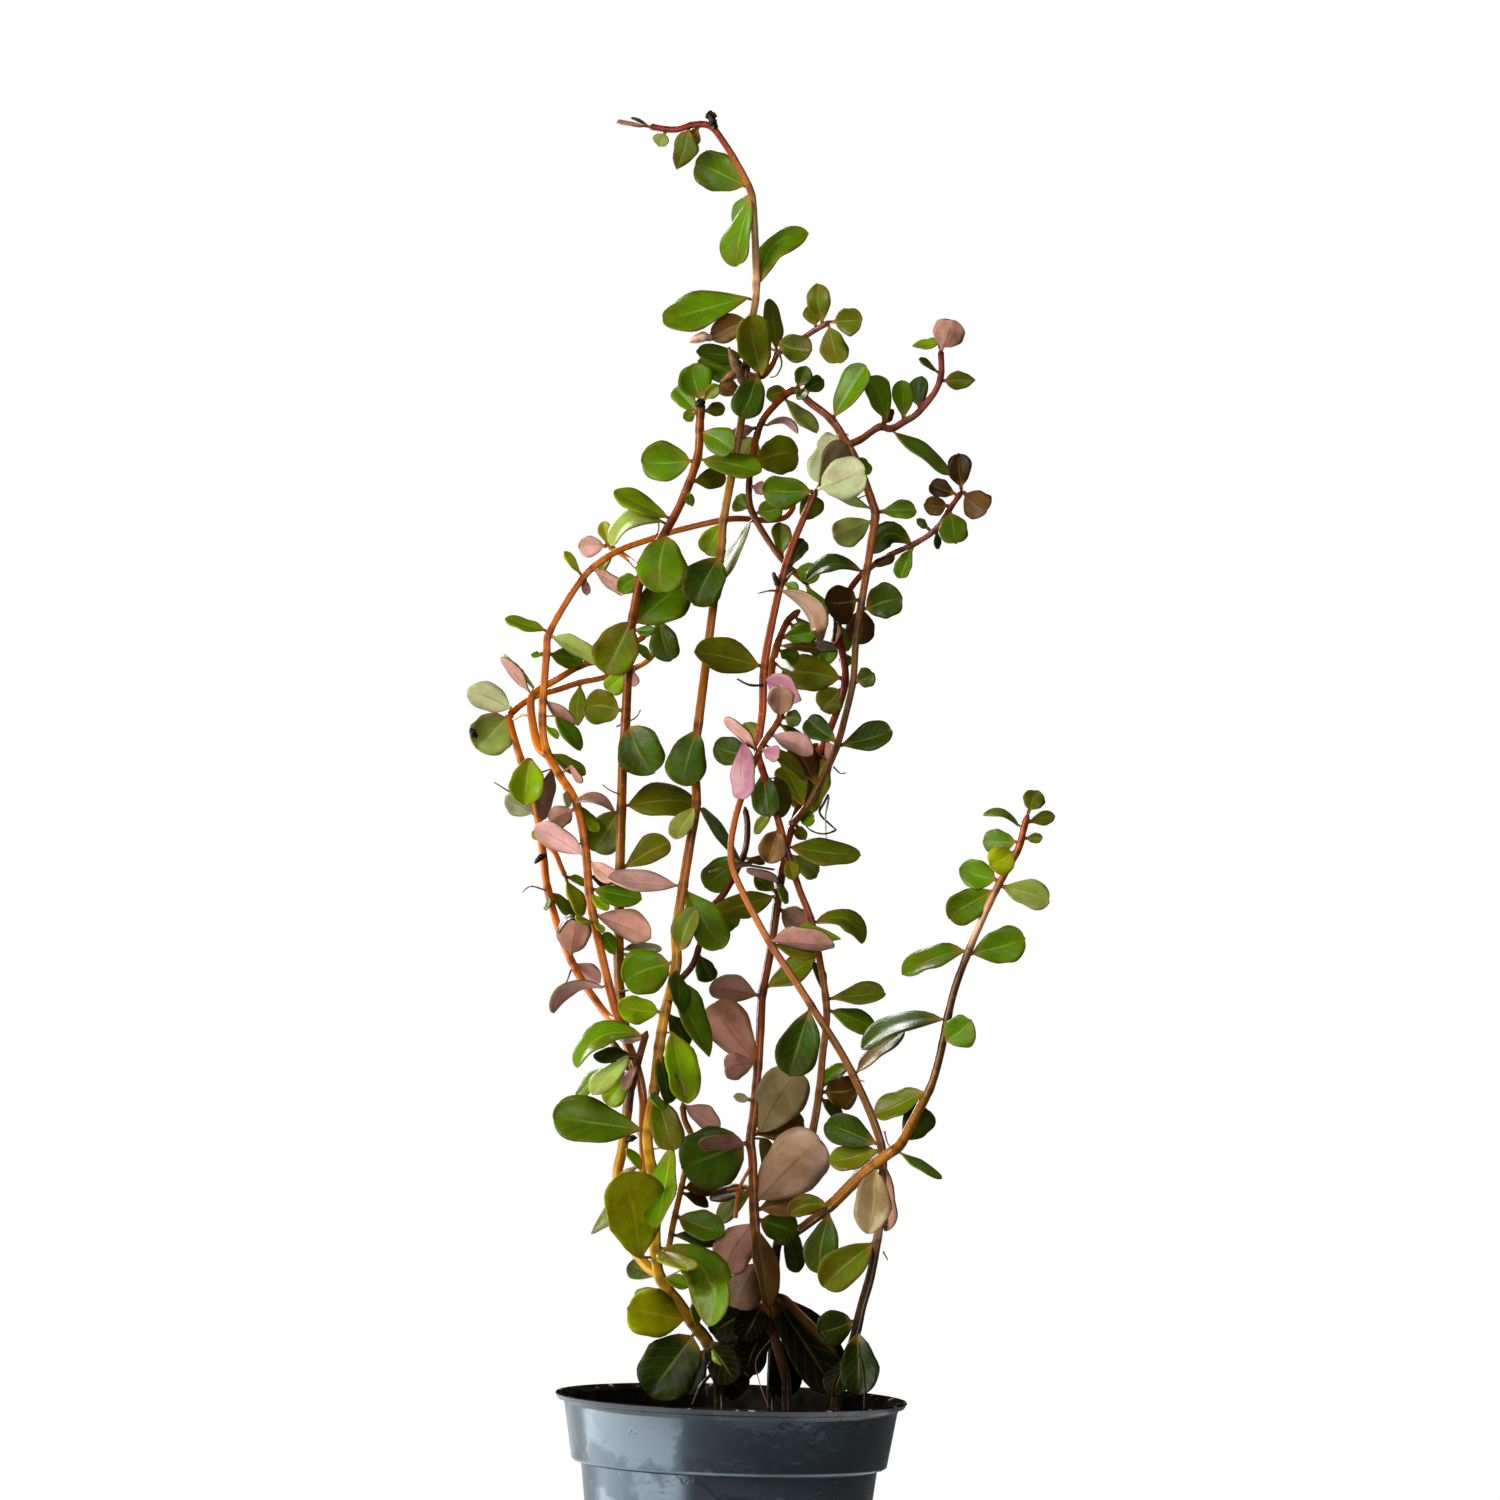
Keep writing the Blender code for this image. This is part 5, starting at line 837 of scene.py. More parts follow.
def smoothLine(points, spacing):
    # A smooth curve through the points, with a place on it about every spacing.
    points = [points[0] * 2 - points[1], *points, points[-1] * 2 - points[-2]]
    line = []
    for a, b, c, d in zip(points, points[1:], points[2:], points[3:]):
        steps = max(2, round((c - b).length / spacing))
        for step in range(steps):
            t = step / steps
            line.append(
                0.5 * (2 * b + (c - a) * t + (2 * a - 5 * b + 4 * c - d) * t * t
                       + (3 * b - a - 3 * c + d) * t * t * t)
            )
    line.append(points[-2])
    return line


def between(values, share):
    # The value at this share of the way along evenly spaced values.
    place = share * (len(values) - 1)
    index = min(int(place), len(values) - 2)
    return values[index] + (values[index + 1] - values[index]) * (place - index)


class Stem:
    def __init__(self, plan):
        self.line = smoothLine(fillDepths(plan["path"]), pathStep)
        if "parent" not in plan:
            root = mediumTop + gap
            while self.line[1].z < root:
                self.line.pop(0)
            low, high = self.line[:2]
            self.line[0] = low.lerp(high, (root - low.z) / (high.z - low.z))
        self.along = [0.0]
        for a, b in zip(self.line, self.line[1:]):
            self.along.append(self.along[-1] + (b - a).length)
        self.length = self.along[-1]
        self.radii = plan["radii"]

    def radius(self, along):
        return between(self.radii, along / self.length)

    def point(self, along):
        for index in range(len(self.line) - 1):
            if self.along[index + 1] >= along:
                break
        span = self.along[index + 1] - self.along[index]
        return self.line[index].lerp(self.line[index + 1], (along - self.along[index]) / span)

    def heading(self, along):
        ahead = self.point(min(along + headingStep, self.length))
        behind = self.point(max(along - headingStep, 0))
        return (ahead - behind).normalized()

    def nearest(self, across, up):
        # How far along the stem the place is that is seen nearest to this one.
        best = min(
            range(len(self.line)),
            key=lambda index: math.hypot(
                asSeen(self.line[index])[0] - across, asSeen(self.line[index])[1] - up
            ),
        )
        return self.along[best]

    def room(self, point):
        index = min(range(len(self.line)), key=lambda k: (self.line[k] - point).length)
        return (self.line[index] - point).length - self.radius(self.along[index])


def leafPlan(stem, row, swing):
    across, up, tipAcross, tipUp, depth, wide, form, tone = row[:8]
    bow = row[8] if len(row) > 8 else 0
    depth = depth * depthScale + swing
    along = min(max(stem.nearest(across, up), nodeHalf), stem.length - 0.2)
    foot = stem.point(along)
    tip = seen(tipAcross, tipUp, foot.y + depth)
    base = seen(across, up, foot.y + baseDepth * depth)
    least = stem.radius(along) + leafClear
    if (base - foot).length < least:
        base = foot + (tip - foot).normalized() * least
    chord = tip - base
    lift = Vector((-chord.z, 0, chord.x)).normalized()
    if lift.z < 0:
        lift.negate()
    real = min(max(leafRatio * chord.length, wide), broadestLeaf)
    return {
        "along": along,
        "foot": foot,
        "base": base,
        "chord": chord,
        "lift": lift * bow * 4,  # As much as the bow itself in the middle of the leaf.
        "real": real,
        "turn": math.acos(min(1, wide / real)),
        "under": "u" in form,
        "form": form[0],
        "tone": tone,
    }


def leafStation(leaf, share):
    # The middle of the leaf at this share of its length, its way on, its side and its upper face.
    middle = leaf["base"] + leaf["chord"] * share + leaf["lift"] * share * (1 - share)
    heading = (leaf["chord"] + leaf["lift"] * (1 - 2 * share)).normalized()
    # A leaf faces the front, or up when it runs almost straight to the front or back.
    facing = Vector((0, -1, 0)) if abs(heading.y) < 0.93 else Vector((0, 0, 1))
    facing = (facing - heading * facing.dot(heading)).normalized()
    tilt = facing.cross(heading) * math.sin(leaf["turn"])
    inward = leaf["foot"] - middle
    upward = tilt.z + inwardPull * tilt.dot(inward) / max(1, inward.length)
    if (upward < 0) != leaf["under"]:
        tilt.negate()
    facing = facing * math.cos(leaf["turn"]) + tilt
    top = -facing if leaf["under"] else facing
    return middle, heading, top.cross(heading), top


def leafStations(leaf):
    shares = (0, 0.36, 0.74, 1) if leaf["real"] >= broadLeaf else (0, 0.55, 1)
    parts = leafForms[leaf["form"]]
    if len(shares) == 3:
        parts = (1.0, parts[2])
    widths = [stalkWide, *[leaf["real"] * part for part in parts]]
    stations = []
    for share, width in zip(shares, widths):
        middle, heading, side, top = leafStation(leaf, share)
        depth = keel if 0 < share < 1 else keel * endKeel
        stations.append((middle, side * (width / 2), top * depth))
    return stations


def boxed(tree, points):
    # A tree with its box, so that what is far away can be passed over.
    low = Vector([min(point[axis] for point in points) for axis in range(3)])
    high = Vector([max(point[axis] for point in points) for axis in range(3)])
    return tree, low, high


def leafTree(leaf, spare):
    # The leaf's plain solid, three corners at each station, grown by the spare distance.
    points = []
    for middle, side, top in leafStations(leaf):
        out = side.normalized() * spare
        raised = top.normalized() * spare
        points += [middle + side + out + raised, middle - side - out + raised, middle - top - raised]
    faces = [(0, 1, 2)]
    for row in range(0, len(points) - 3, 3):
        for k in range(3):
            a = row + k
            b = row + (k + 1) % 3
            faces.append((a, b, b + 3))
            faces.append((a, b + 3, a + 3))
    last = len(points) - 3
    faces.append((last, last + 1, last + 2))
    return boxed(BVHTree.FromPolygons(points, faces), points)


def apart(first, second):
    for axis in range(3):
        if first[1][axis] > second[2][axis] or second[1][axis] > first[2][axis]:
            return True
    return not first[0].overlap(second[0])


def settle(stem, row, placed):
    # A leaf swings forward or back from the depth it is given until it clears all that grew before it.
    lean = -1 if row[4] < 0 else 1
    for swing in swings:
        leaf = leafPlan(stem, row, swing * lean)
        clear = leafTree(leaf, gap)
        if all(apart(clear, other) for other in placed):
            break
    else:
        leaf = leafPlan(stem, row, 0)
    placed.append(leafTree(leaf, 0.0))
    return leaf


def ringPoints(stem, along, across, radius, sides):
    heading = stem.heading(along)
    across = (across - heading * across.dot(heading)).normalized()
    other = heading.cross(across)
    centre = stem.point(along)
    ring = []
    for index in range(sides):
        angle = math.tau * index / sides
        ring.append(centre + (across * math.cos(angle) + other * math.sin(angle)) * radius)
    return ring, across


def startOf(stem, parent):
    # A branch starts where it is clear of the stem that it forks from.
    along = 0.0
    while parent and parent.room(stem.point(along)) < gap + forkRoom:
        along += 0.1
    return along


def stemTree(stem, parent):
    # The stem's plain solid: a tube of few sides, grown from place to place.
    start = startOf(stem, parent)
    parts = math.ceil((stem.length - start) / longestSegment)
    places = [start + (stem.length - start) * part / parts for part in range(parts + 1)]
    sides = 5 if stem.radii[0] >= thickStem else 4
    bm = bmesh.new()
    bmesh.ops.create_cone(
        bm, cap_ends=True, cap_tris=False, segments=sides, radius1=1, radius2=1, depth=2
    )
    top = max(bm.faces, key=lambda face: face.calc_center_median().z)
    bottom = min(bm.faces, key=lambda face: face.calc_center_median().z)

    def radiusAt(along):
        radius = stem.radius(along)
        if parent:
            radius = min(radius, max(leastRadius, parent.room(stem.point(along)) - gap))
        if along == stem.length:
            radius *= stemTip
        return radius

    across = Vector((1, 0, 0.1))
    for end, place in ((bottom, places[0]), (top, places[1])):
        ring, across = ringPoints(stem, place, across, radiusAt(place), sides)
        for vert in end.verts:
            vert.co = ring[round(math.atan2(vert.co.y, vert.co.x) / math.tau * sides) % sides]
    for place in places[2:]:
        top = bmesh.ops.extrude_discrete_faces(bm, faces=[top])["faces"][0]
        was = ring
        ring, across = ringPoints(stem, place, across, radiusAt(place), sides)
        for vert in top.verts:
            index = min(range(sides), key=lambda k: (was[k] - vert.co).length)
            vert.co = ring[index]
    walls = [face for face in bm.faces if face not in (top, bottom)]
    bmesh.ops.triangulate(bm, faces=walls)
    tree = boxed(BVHTree.FromBMesh(bm), [vert.co.copy() for vert in bm.verts])
    bm.free()
    return tree


# Meshes and pieces.


def linear(value):
    return value / 12.92 if value <= 0.04045 else ((value + 0.055) / 1.055) ** 2.4


def toLinear(colour):
    return tuple(linear(part) for part in colour)


def toObject(bm, name, materials):
    bmesh.ops.scale(bm, vec=(mm, mm, mm), verts=bm.verts)
    mesh = bpy.data.meshes.new(name)
    bm.to_mesh(mesh)
    bm.free()
    made = bpy.data.objects.new(name, mesh)
    bpy.context.scene.collection.objects.link(made)
    for material in materials:
        mesh.materials.append(material)
    mesh.shade_smooth()
    return made


def dress(piece, node):
    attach(piece, "root")
    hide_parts(node)


def placeTube(bm, points, radii, sides):
    # A closed tube through the points: the end face is extruded from place to place.
    # What comes back says at which place each of its corners is.
    made = bmesh.ops.create_cone(
        bm, cap_ends=True, cap_tris=False, segments=sides, radius1=1, radius2=1, depth=2
    )
    faces = {face for vert in made["verts"] for face in vert.link_faces}
    ends = [face for face in faces if len(face.verts) == sides]
    bottom, top = sorted(ends, key=lambda face: face.calc_center_median().z)
    across = Vector((1, 0.03, 0.1))
    rings = []
    for index, point in enumerate(points):
        before = points[max(index - 1, 0)]
        after = points[min(index + 1, len(points) - 1)]
        heading = (after - before).normalized()
        across = (across - heading * across.dot(heading)).normalized()
        other = heading.cross(across)
        ring = []
        for side in range(sides):
            angle = math.tau * side / sides
            ring.append(point + (across * math.cos(angle) + other * math.sin(angle)) * radii[index])
        rings.append(ring)
    placed = {}
    for step, end in enumerate((bottom, top)):
        for vert in end.verts:
            vert.co = rings[step][round(math.atan2(vert.co.y, vert.co.x) / math.tau * sides) % sides]
            placed[vert] = step
    for step in range(2, len(rings)):
        top = bmesh.ops.extrude_discrete_faces(bm, faces=[top])["faces"][0]
        for vert in top.verts:
            side = min(range(sides), key=lambda k: (rings[step - 1][k] - vert.co).length_squared)
            vert.co = rings[step][side]
            placed[vert] = step
    return placed


# Leaves: a fine grid for each, cupped, folded and rippled. Where there are three numbers, the first is the
# size, and the leaf draws its share of it between the other two.
leafDetail = {
    "rows": 15, "columns": 8, "thick": 0.2, "groove": 0.1, "ripple": 0.17, "nibble": 0.05,
    "cup": (0.24, -0.6, 1.0), "fold": (0.3, -0.3, 1.0), "droop": (0.14, -0.2, 1.0),
    "lean": (0.1, -1.0, 1.0), "sway": (0.16, -1.0, 1.0), "phase": (0, 6), "waves": (5, 9),
    "stalk": (-0.12, 0.22), "stalkEnd": (0.0, 0.24), "bunching": 1.15, "leastFacing": 0.25,
    "slim": (0.66, 1.1), "slimFrom": 1.55, "slimVaries": (0.92, 1.08), "shadeVaries": (0.84, 1.16),
    "nibbleWaves": 1.7, "grooveNarrow": 3, "tipWide": 0.2,
}
# Leaf colours in sRGB: the face that the tone names, and what it turns to at the rim and tip. The
# near-black tone and the deep one, kept for leaves low down by the medium, are painted shade; the deep one
# is a dark green under it.
leafTones = {
    "green": ((0.31, 0.46, 0.02), (0.40, 0.38, 0.02)),
    "dark": ((0.21, 0.32, 0.02), (0.26, 0.22, 0.02)),
    "olive": ((0.34, 0.40, 0.02), (0.42, 0.30, 0.05)),
    "lime": ((0.47, 0.62, 0.03), (0.56, 0.56, 0.06)),
    "bright": ((0.66, 0.77, 0.12), (0.66, 0.66, 0.20)),
    "soft": ((0.52, 0.61, 0.26), (0.52, 0.46, 0.25)),
    "pale": ((0.68, 0.72, 0.52), (0.60, 0.50, 0.42)),
    "mauve": ((0.70, 0.51, 0.45), (0.50, 0.40, 0.20)),
    "pink": ((0.84, 0.64, 0.61), (0.64, 0.54, 0.40)),
    "violet": ((0.62, 0.40, 0.47), (0.74, 0.60, 0.56)),
    "ash": ((0.62, 0.50, 0.40), (0.48, 0.38, 0.24)),
    "bronze": ((0.46, 0.34, 0.15), (0.36, 0.20, 0.10)),
    "brown": ((0.27, 0.17, 0.04), (0.18, 0.10, 0.03)),
    "tan": ((0.56, 0.50, 0.33), (0.48, 0.35, 0.26)),
    # Dark green darkened further as painted shade, for leaves low down.
    "deep": ((0.15, 0.21, 0.02), (0.12, 0.11, 0.02)),
    # Near black: painted shade for leaves low down by the medium.
    "night": ((0.09, 0.09, 0.02), (0.07, 0.05, 0.02)),
    "yellow": ((0.58, 0.62, 0.02), (0.50, 0.45, 0.03)),
}
# The face turned away: for a leaf seen from above its underside, and the other way round.
underTones = {
    "green": (0.50, 0.46, 0.24), "dark": (0.38, 0.31, 0.18), "olive": (0.50, 0.38, 0.24),
    "lime": (0.62, 0.65, 0.32), "bright": (0.72, 0.76, 0.42), "soft": (0.58, 0.55, 0.36),
    "pale": (0.44, 0.50, 0.14), "mauve": (0.30, 0.30, 0.03), "pink": (0.38, 0.38, 0.06),
    "violet": (0.44, 0.46, 0.08), "ash": (0.36, 0.32, 0.10), "bronze": (0.36, 0.26, 0.10),
    # The near-black and deep tones here are painted shade too.
    "brown": (0.36, 0.25, 0.18), "tan": (0.40, 0.42, 0.14), "night": (0.14, 0.10, 0.06),
    "deep": (0.22, 0.20, 0.08), "yellow": (0.62, 0.58, 0.24),
}
# How the width runs along a leaf: the powers of the length from the base and from the tip.
leafOutlines = {"o": (0.86, 0.42), "e": (0.78, 0.56), "p": (0.66, 0.95)}


def outlineWidth(form, share, slim):
    rise, fall = leafOutlines[form]
    rise *= slim
    peak = rise / (rise + fall)
    return (share / peak) ** rise * ((1 - share) / (1 - peak)) ** fall


def growLeaf(bm, layers, leaf, rng):
    rows = leafDetail["rows"]
    made = bmesh.ops.create_grid(bm, x_segments=rows, y_segments=leafDetail["columns"], size=1)["verts"]
    facing = max(leafDetail["leastFacing"], abs(leafStation(leaf, 0.5)[3].y))
    cup, fold, droop, lean, sway = (
        leafDetail[key][0] * rng.uniform(*leafDetail[key][1:])
        for key in ("cup", "fold", "droop", "lean", "sway")
    )
    cup *= facing
    fold *= facing
    droop *= facing
    phase = rng.uniform(*leafDetail["phase"])
    waves = rng.uniform(*leafDetail["waves"])
    reach = leaf["chord"].length
    # A broad round leaf has a broad base, a long one narrows into its stalk.
    least, most = leafDetail["slim"]
    slim = min(most, max(least, leafDetail["slimFrom"] - leaf["real"] / reach))
    slim *= rng.uniform(*leafDetail["slimVaries"])
    uvs = {}
    for vert in made:
        across = vert.co.y
        row = round((vert.co.x + 1) / 2 * rows)
        if row == 0:
            share, half = leafDetail["stalk"]
        elif row == 1:
            share, half = leafDetail["stalkEnd"]
        else:
            share = math.sin((row - 1) / (rows - 1) * math.pi / 2) ** leafDetail["bunching"]
            half = leaf["real"] / 2 * outlineWidth(leaf["form"], min(share, 0.9999), slim)
            half = max(leafDetail["tipWide"] * (1 - share), half)
        way = min(max(share, 0), 1)
        middle, _, side, top = leafStation(leaf, way)
        if row == 0:
            middle = leaf["foot"].lerp(leaf["base"], 0.25)
        opened = math.sin(math.pi * way)
        bend = (cup * across * across + fold * abs(across)) * half - droop * way ** 2 * reach
        ripple = leafDetail["ripple"] * facing * abs(across) ** 3 * half
        ripple *= math.sin(waves * share + phase + across)
        dip = leafDetail["groove"] * (1 - min(1, abs(across) * leafDetail["grooveNarrow"])) * min(1, half)
        wide = half * (1 + lean * across * opened)
        wave = math.sin(waves * leafDetail["nibbleWaves"] * share + phase * across)
        wide *= 1 + leafDetail["nibble"] * opened * wave
        shift = sway * opened * half
        vert.co = middle + side * (across * wide + shift) + top * (bend + ripple - dip)
        uvs[vert] = (way, across * 0.5 + 0.5)
    upper = [toLinear(part) for part in leafTones[leaf["tone"]]]
    lower = [toLinear(underTones[leaf["tone"]])] * 2
    shade = rng.uniform(*leafDetail["shadeVaries"])
    tints = lower + upper if leaf["under"] else upper + lower
    tints = [(*[part * shade for part in tint], 1) for tint in tints]
    faces = {face for vert in made for face in vert.link_faces}
    for face in faces:
        for loop in face.loops:
            loop[layers[0]].uv = uvs[loop.vert]
            for layer, tint in zip(layers[1:], tints):
                loop[layer] = tint
    place, _, _, top = leafStation(leaf, 0.6)
    middleFace = min(faces, key=lambda face: (face.calc_center_median() - place).length)
    middleFace.normal_update()
    if middleFace.normal.dot(top) < 0:
        bmesh.ops.reverse_faces(bm, faces=list(faces))


def makeLeaves(name, node, leaves, materials):
    # The tints: the face that shows and its rim, then the other face and its patches.
    bm = bmesh.new()
    layers = [bm.loops.layers.uv.new("leafMap")]
    layers += [bm.loops.layers.float_color.new(layer) for layer in ("tint", "rim", "away", "back")]
    rng = random.Random(name)
    for leaf in leaves:
        growLeaf(bm, layers, leaf, rng)
    piece = toObject(bm, name, materials)
    thicken = piece.modifiers.new("thickness", "SOLIDIFY")
    thicken.thickness = leafDetail["thick"] * mm
    thicken.offset = -1
    thicken.material_offset = 1
    thicken.use_quality_normals = True
    dress(piece, node)


# Roots, knots and torn bits: fine tubes through the points, thick where the radii say so.
bitDetail = {"sides": 7, "step": 0.3, "varies": (0.86, 1.14)}
bitTones = {
    "black": (0.05, 0.04, 0.03), "root": (0.36, 0.25, 0.16), "pale": (0.74, 0.66, 0.54),
    "white": (0.86, 0.86, 0.80), "amber": (0.60, 0.32, 0.10), "pink": (0.70, 0.56, 0.48),
    "green": (0.36, 0.44, 0.10), "lime": (0.46, 0.52, 0.12), "red": (0.44, 0.26, 0.15),
    "mauve": (0.62, 0.46, 0.44), "dark": (0.16, 0.10, 0.04),
}


def growBits(name, node, stem, rows, material):
    bm = bmesh.new()
    tintLayer = bm.loops.layers.float_color.new("tint")
    rng = random.Random(name)
    for tone, radii, points in rows:
        foot = stem.point(stem.nearest(*points[0][:2]))
        places = [seen(across, up, foot.y + depth) for across, up, depth in points]
        line = smoothLine(places, bitDetail["step"])
        widths = []
        for index in range(len(line)):
            width = between(radii, index / (len(line) - 1))
            widths.append(width * rng.uniform(*bitDetail["varies"]))
        tint = (*toLinear(bitTones[tone]), 1)
        for vert in placeTube(bm, line, widths, bitDetail["sides"]):
            for loop in vert.link_loops:
                loop[tintLayer] = tint
    piece = toObject(bm, name, [material])
    dress(piece, node)


# Stems: round tubes, swollen and scarred where leaves grow.
stemDetail = {
    "sides": 14, "step": 0.7, "swelling": 0.16, "swellingHalf": 0.8, "scarHalf": 0.28, "scarDepth": 0.1,
    "scarSeen": 0.42, "scarShade": 0.55, "lumps": 0.06, "lumpScale": 0.8, "patch": 0.5, "patchScale": 0.16,
    "tip": 0.35, "highShade": 0.72,
}
# Stem colours in sRGB: low and high in the space between two leaf pairs.
stemTones = {
    "stem": ((0.52, 0.27, 0.04), (0.38, 0.15, 0.02)),
    "stem_amber": ((0.56, 0.38, 0.05), (0.43, 0.23, 0.02)),
    "stem_orange": ((0.64, 0.35, 0.07), (0.50, 0.23, 0.03)),
    "brown": ((0.36, 0.19, 0.06), (0.26, 0.11, 0.03)),
}


def bandColour(bands, height):
    for (below, first), (above, second) in zip(bands, bands[1:]):
        if height < above:
            share = min(1, max(0, (height - below) / (above - below)))
            return Vector(toLinear(first)).lerp(Vector(toLinear(second)), share)
    return Vector(toLinear(bands[-1][1]))


def makeStem(name, plan, stem, leaves, material):
    bm = bmesh.new()
    tintLayer = bm.loops.layers.float_color.new("tint")
    count = max(3, math.ceil(stem.length / stemDetail["step"]))
    nodes = sorted(leaf["along"] for leaf in leaves)
    low, high = (Vector(toLinear(tone)) for tone in stemTones[plan["tone"]])
    points = []
    radii = []
    tints = []
    for index in range(count + 1):
        along = stem.length * index / count
        point = stem.point(along)
        radius = stem.radius(along)
        near = min([abs(along - place) for place in nodes] + [stem.length])
        radius *= 1 + stemDetail["swelling"] * max(0, 1 - near / stemDetail["swellingHalf"])
        radius *= 1 - stemDetail["scarDepth"] * max(0, 1 - near / stemDetail["scarHalf"])
        radius *= 1 + stemDetail["lumps"] * noise.noise(point * stemDetail["lumpScale"])
        if index == count:
            radius *= stemDetail["tip"]
        points.append(point)
        radii.append(radius)
        below = max([place for place in nodes if place <= along] + [0])
        above = min([place for place in nodes if place > along] + [stem.length])
        share = (along - below) / max(above - below, 1)
        share += stemDetail["patch"] * noise.noise(point * stemDetail["patchScale"])
        if "bands" in plan:
            low = bandColour(plan["bands"], asSeen(point)[1])
            high = low * stemDetail["highShade"]
        tint = low.lerp(high, min(1, max(0, share)))
        if near < stemDetail["scarSeen"]:
            tint = tint * stemDetail["scarShade"]
        tints.append((*tint, 1))
    for vert, step in placeTube(bm, points, radii, stemDetail["sides"]).items():
        for loop in vert.link_loops:
            loop[tintLayer] = tints[step]
    piece = toObject(bm, name, [material])
    dress(piece, plan["node"])


# Materials.


class Nodes:
    def __init__(self, name):
        self.material = bpy.data.materials.new(name)
        self.material.use_nodes = True
        self.tree = self.material.node_tree
        self.shader = self.tree.nodes["Principled BSDF"]

    def add(self, kind, **settings):
        node = self.tree.nodes.new("ShaderNode" + kind)
        for key, value in settings.items():
            setattr(node, key, value)
        return node

    def fill(self, socket, value):
        if hasattr(value, "is_linked"):
            self.tree.links.new(value, socket)
        elif socket.type == "RGBA":
            socket.default_value = (*value, 1)
        else:
            socket.default_value = value

    def feed(self, node, **values):
        for key, value in values.items():
            self.fill(node.inputs[key.replace("_", " ")], value)
        return node

    def math(self, operation, *values):
        node = self.add("Math", operation=operation)
        for socket, value in zip(node.inputs, values):
            self.fill(socket, value)
        return node.outputs[0]

    def times(self, first, second):
        return self.math("MULTIPLY", first, second)

    def mix(self, factor, first, second, blend="MIX"):
        node = self.add("Mix", data_type="RGBA", blend_type=blend)
        for index, value in ((0, factor), (6, first), (7, second)):
            self.fill(node.inputs[index], value)
        return node.outputs[2]

    def place(self):
        return self.add("TexCoord").outputs["Object"]

    def height(self):
        return self.feed(self.add("SeparateXYZ"), Vector=self.place()).outputs["Z"]

    def noise(self, scale, detail=4.0, roughness=0.55):
        node = self.add("TexNoise")
        self.feed(node, Vector=self.place(), Scale=scale, Detail=detail, Roughness=roughness)
        return node.outputs["Fac"]

    def streaks(self, scale, detail):
        stretch = self.feed(self.add("Mapping"), Vector=self.place(), Scale=scale)
        node = self.add("TexNoise")
        self.feed(node, Vector=stretch.outputs["Vector"], Scale=1.0, Detail=detail)
        return node.outputs["Fac"]

    def ramp(self, value, low, high):
        node = self.add("MapRange")
        self.feed(node, Value=value, From_Min=low, From_Max=high)
        return node.outputs["Result"]

    def skin(self, **values):
        self.feed(self.shader, **values)

    def bump(self, height, strength, distance):
        node = self.add("Bump")
        self.feed(node, Height=height, Strength=strength, Distance=distance)
        self.skin(Normal=node.outputs["Normal"])

    def blend(self, share, other):
        # The principled shader with a share of another one.
        both = self.add("MixShader")
        for socket, value in zip(both.inputs, (share, self.shader.outputs[0], other.outputs[0])):
            self.fill(socket, value)
        self.tree.links.new(both.outputs[0], self.tree.nodes["Material Output"].inputs["Surface"])


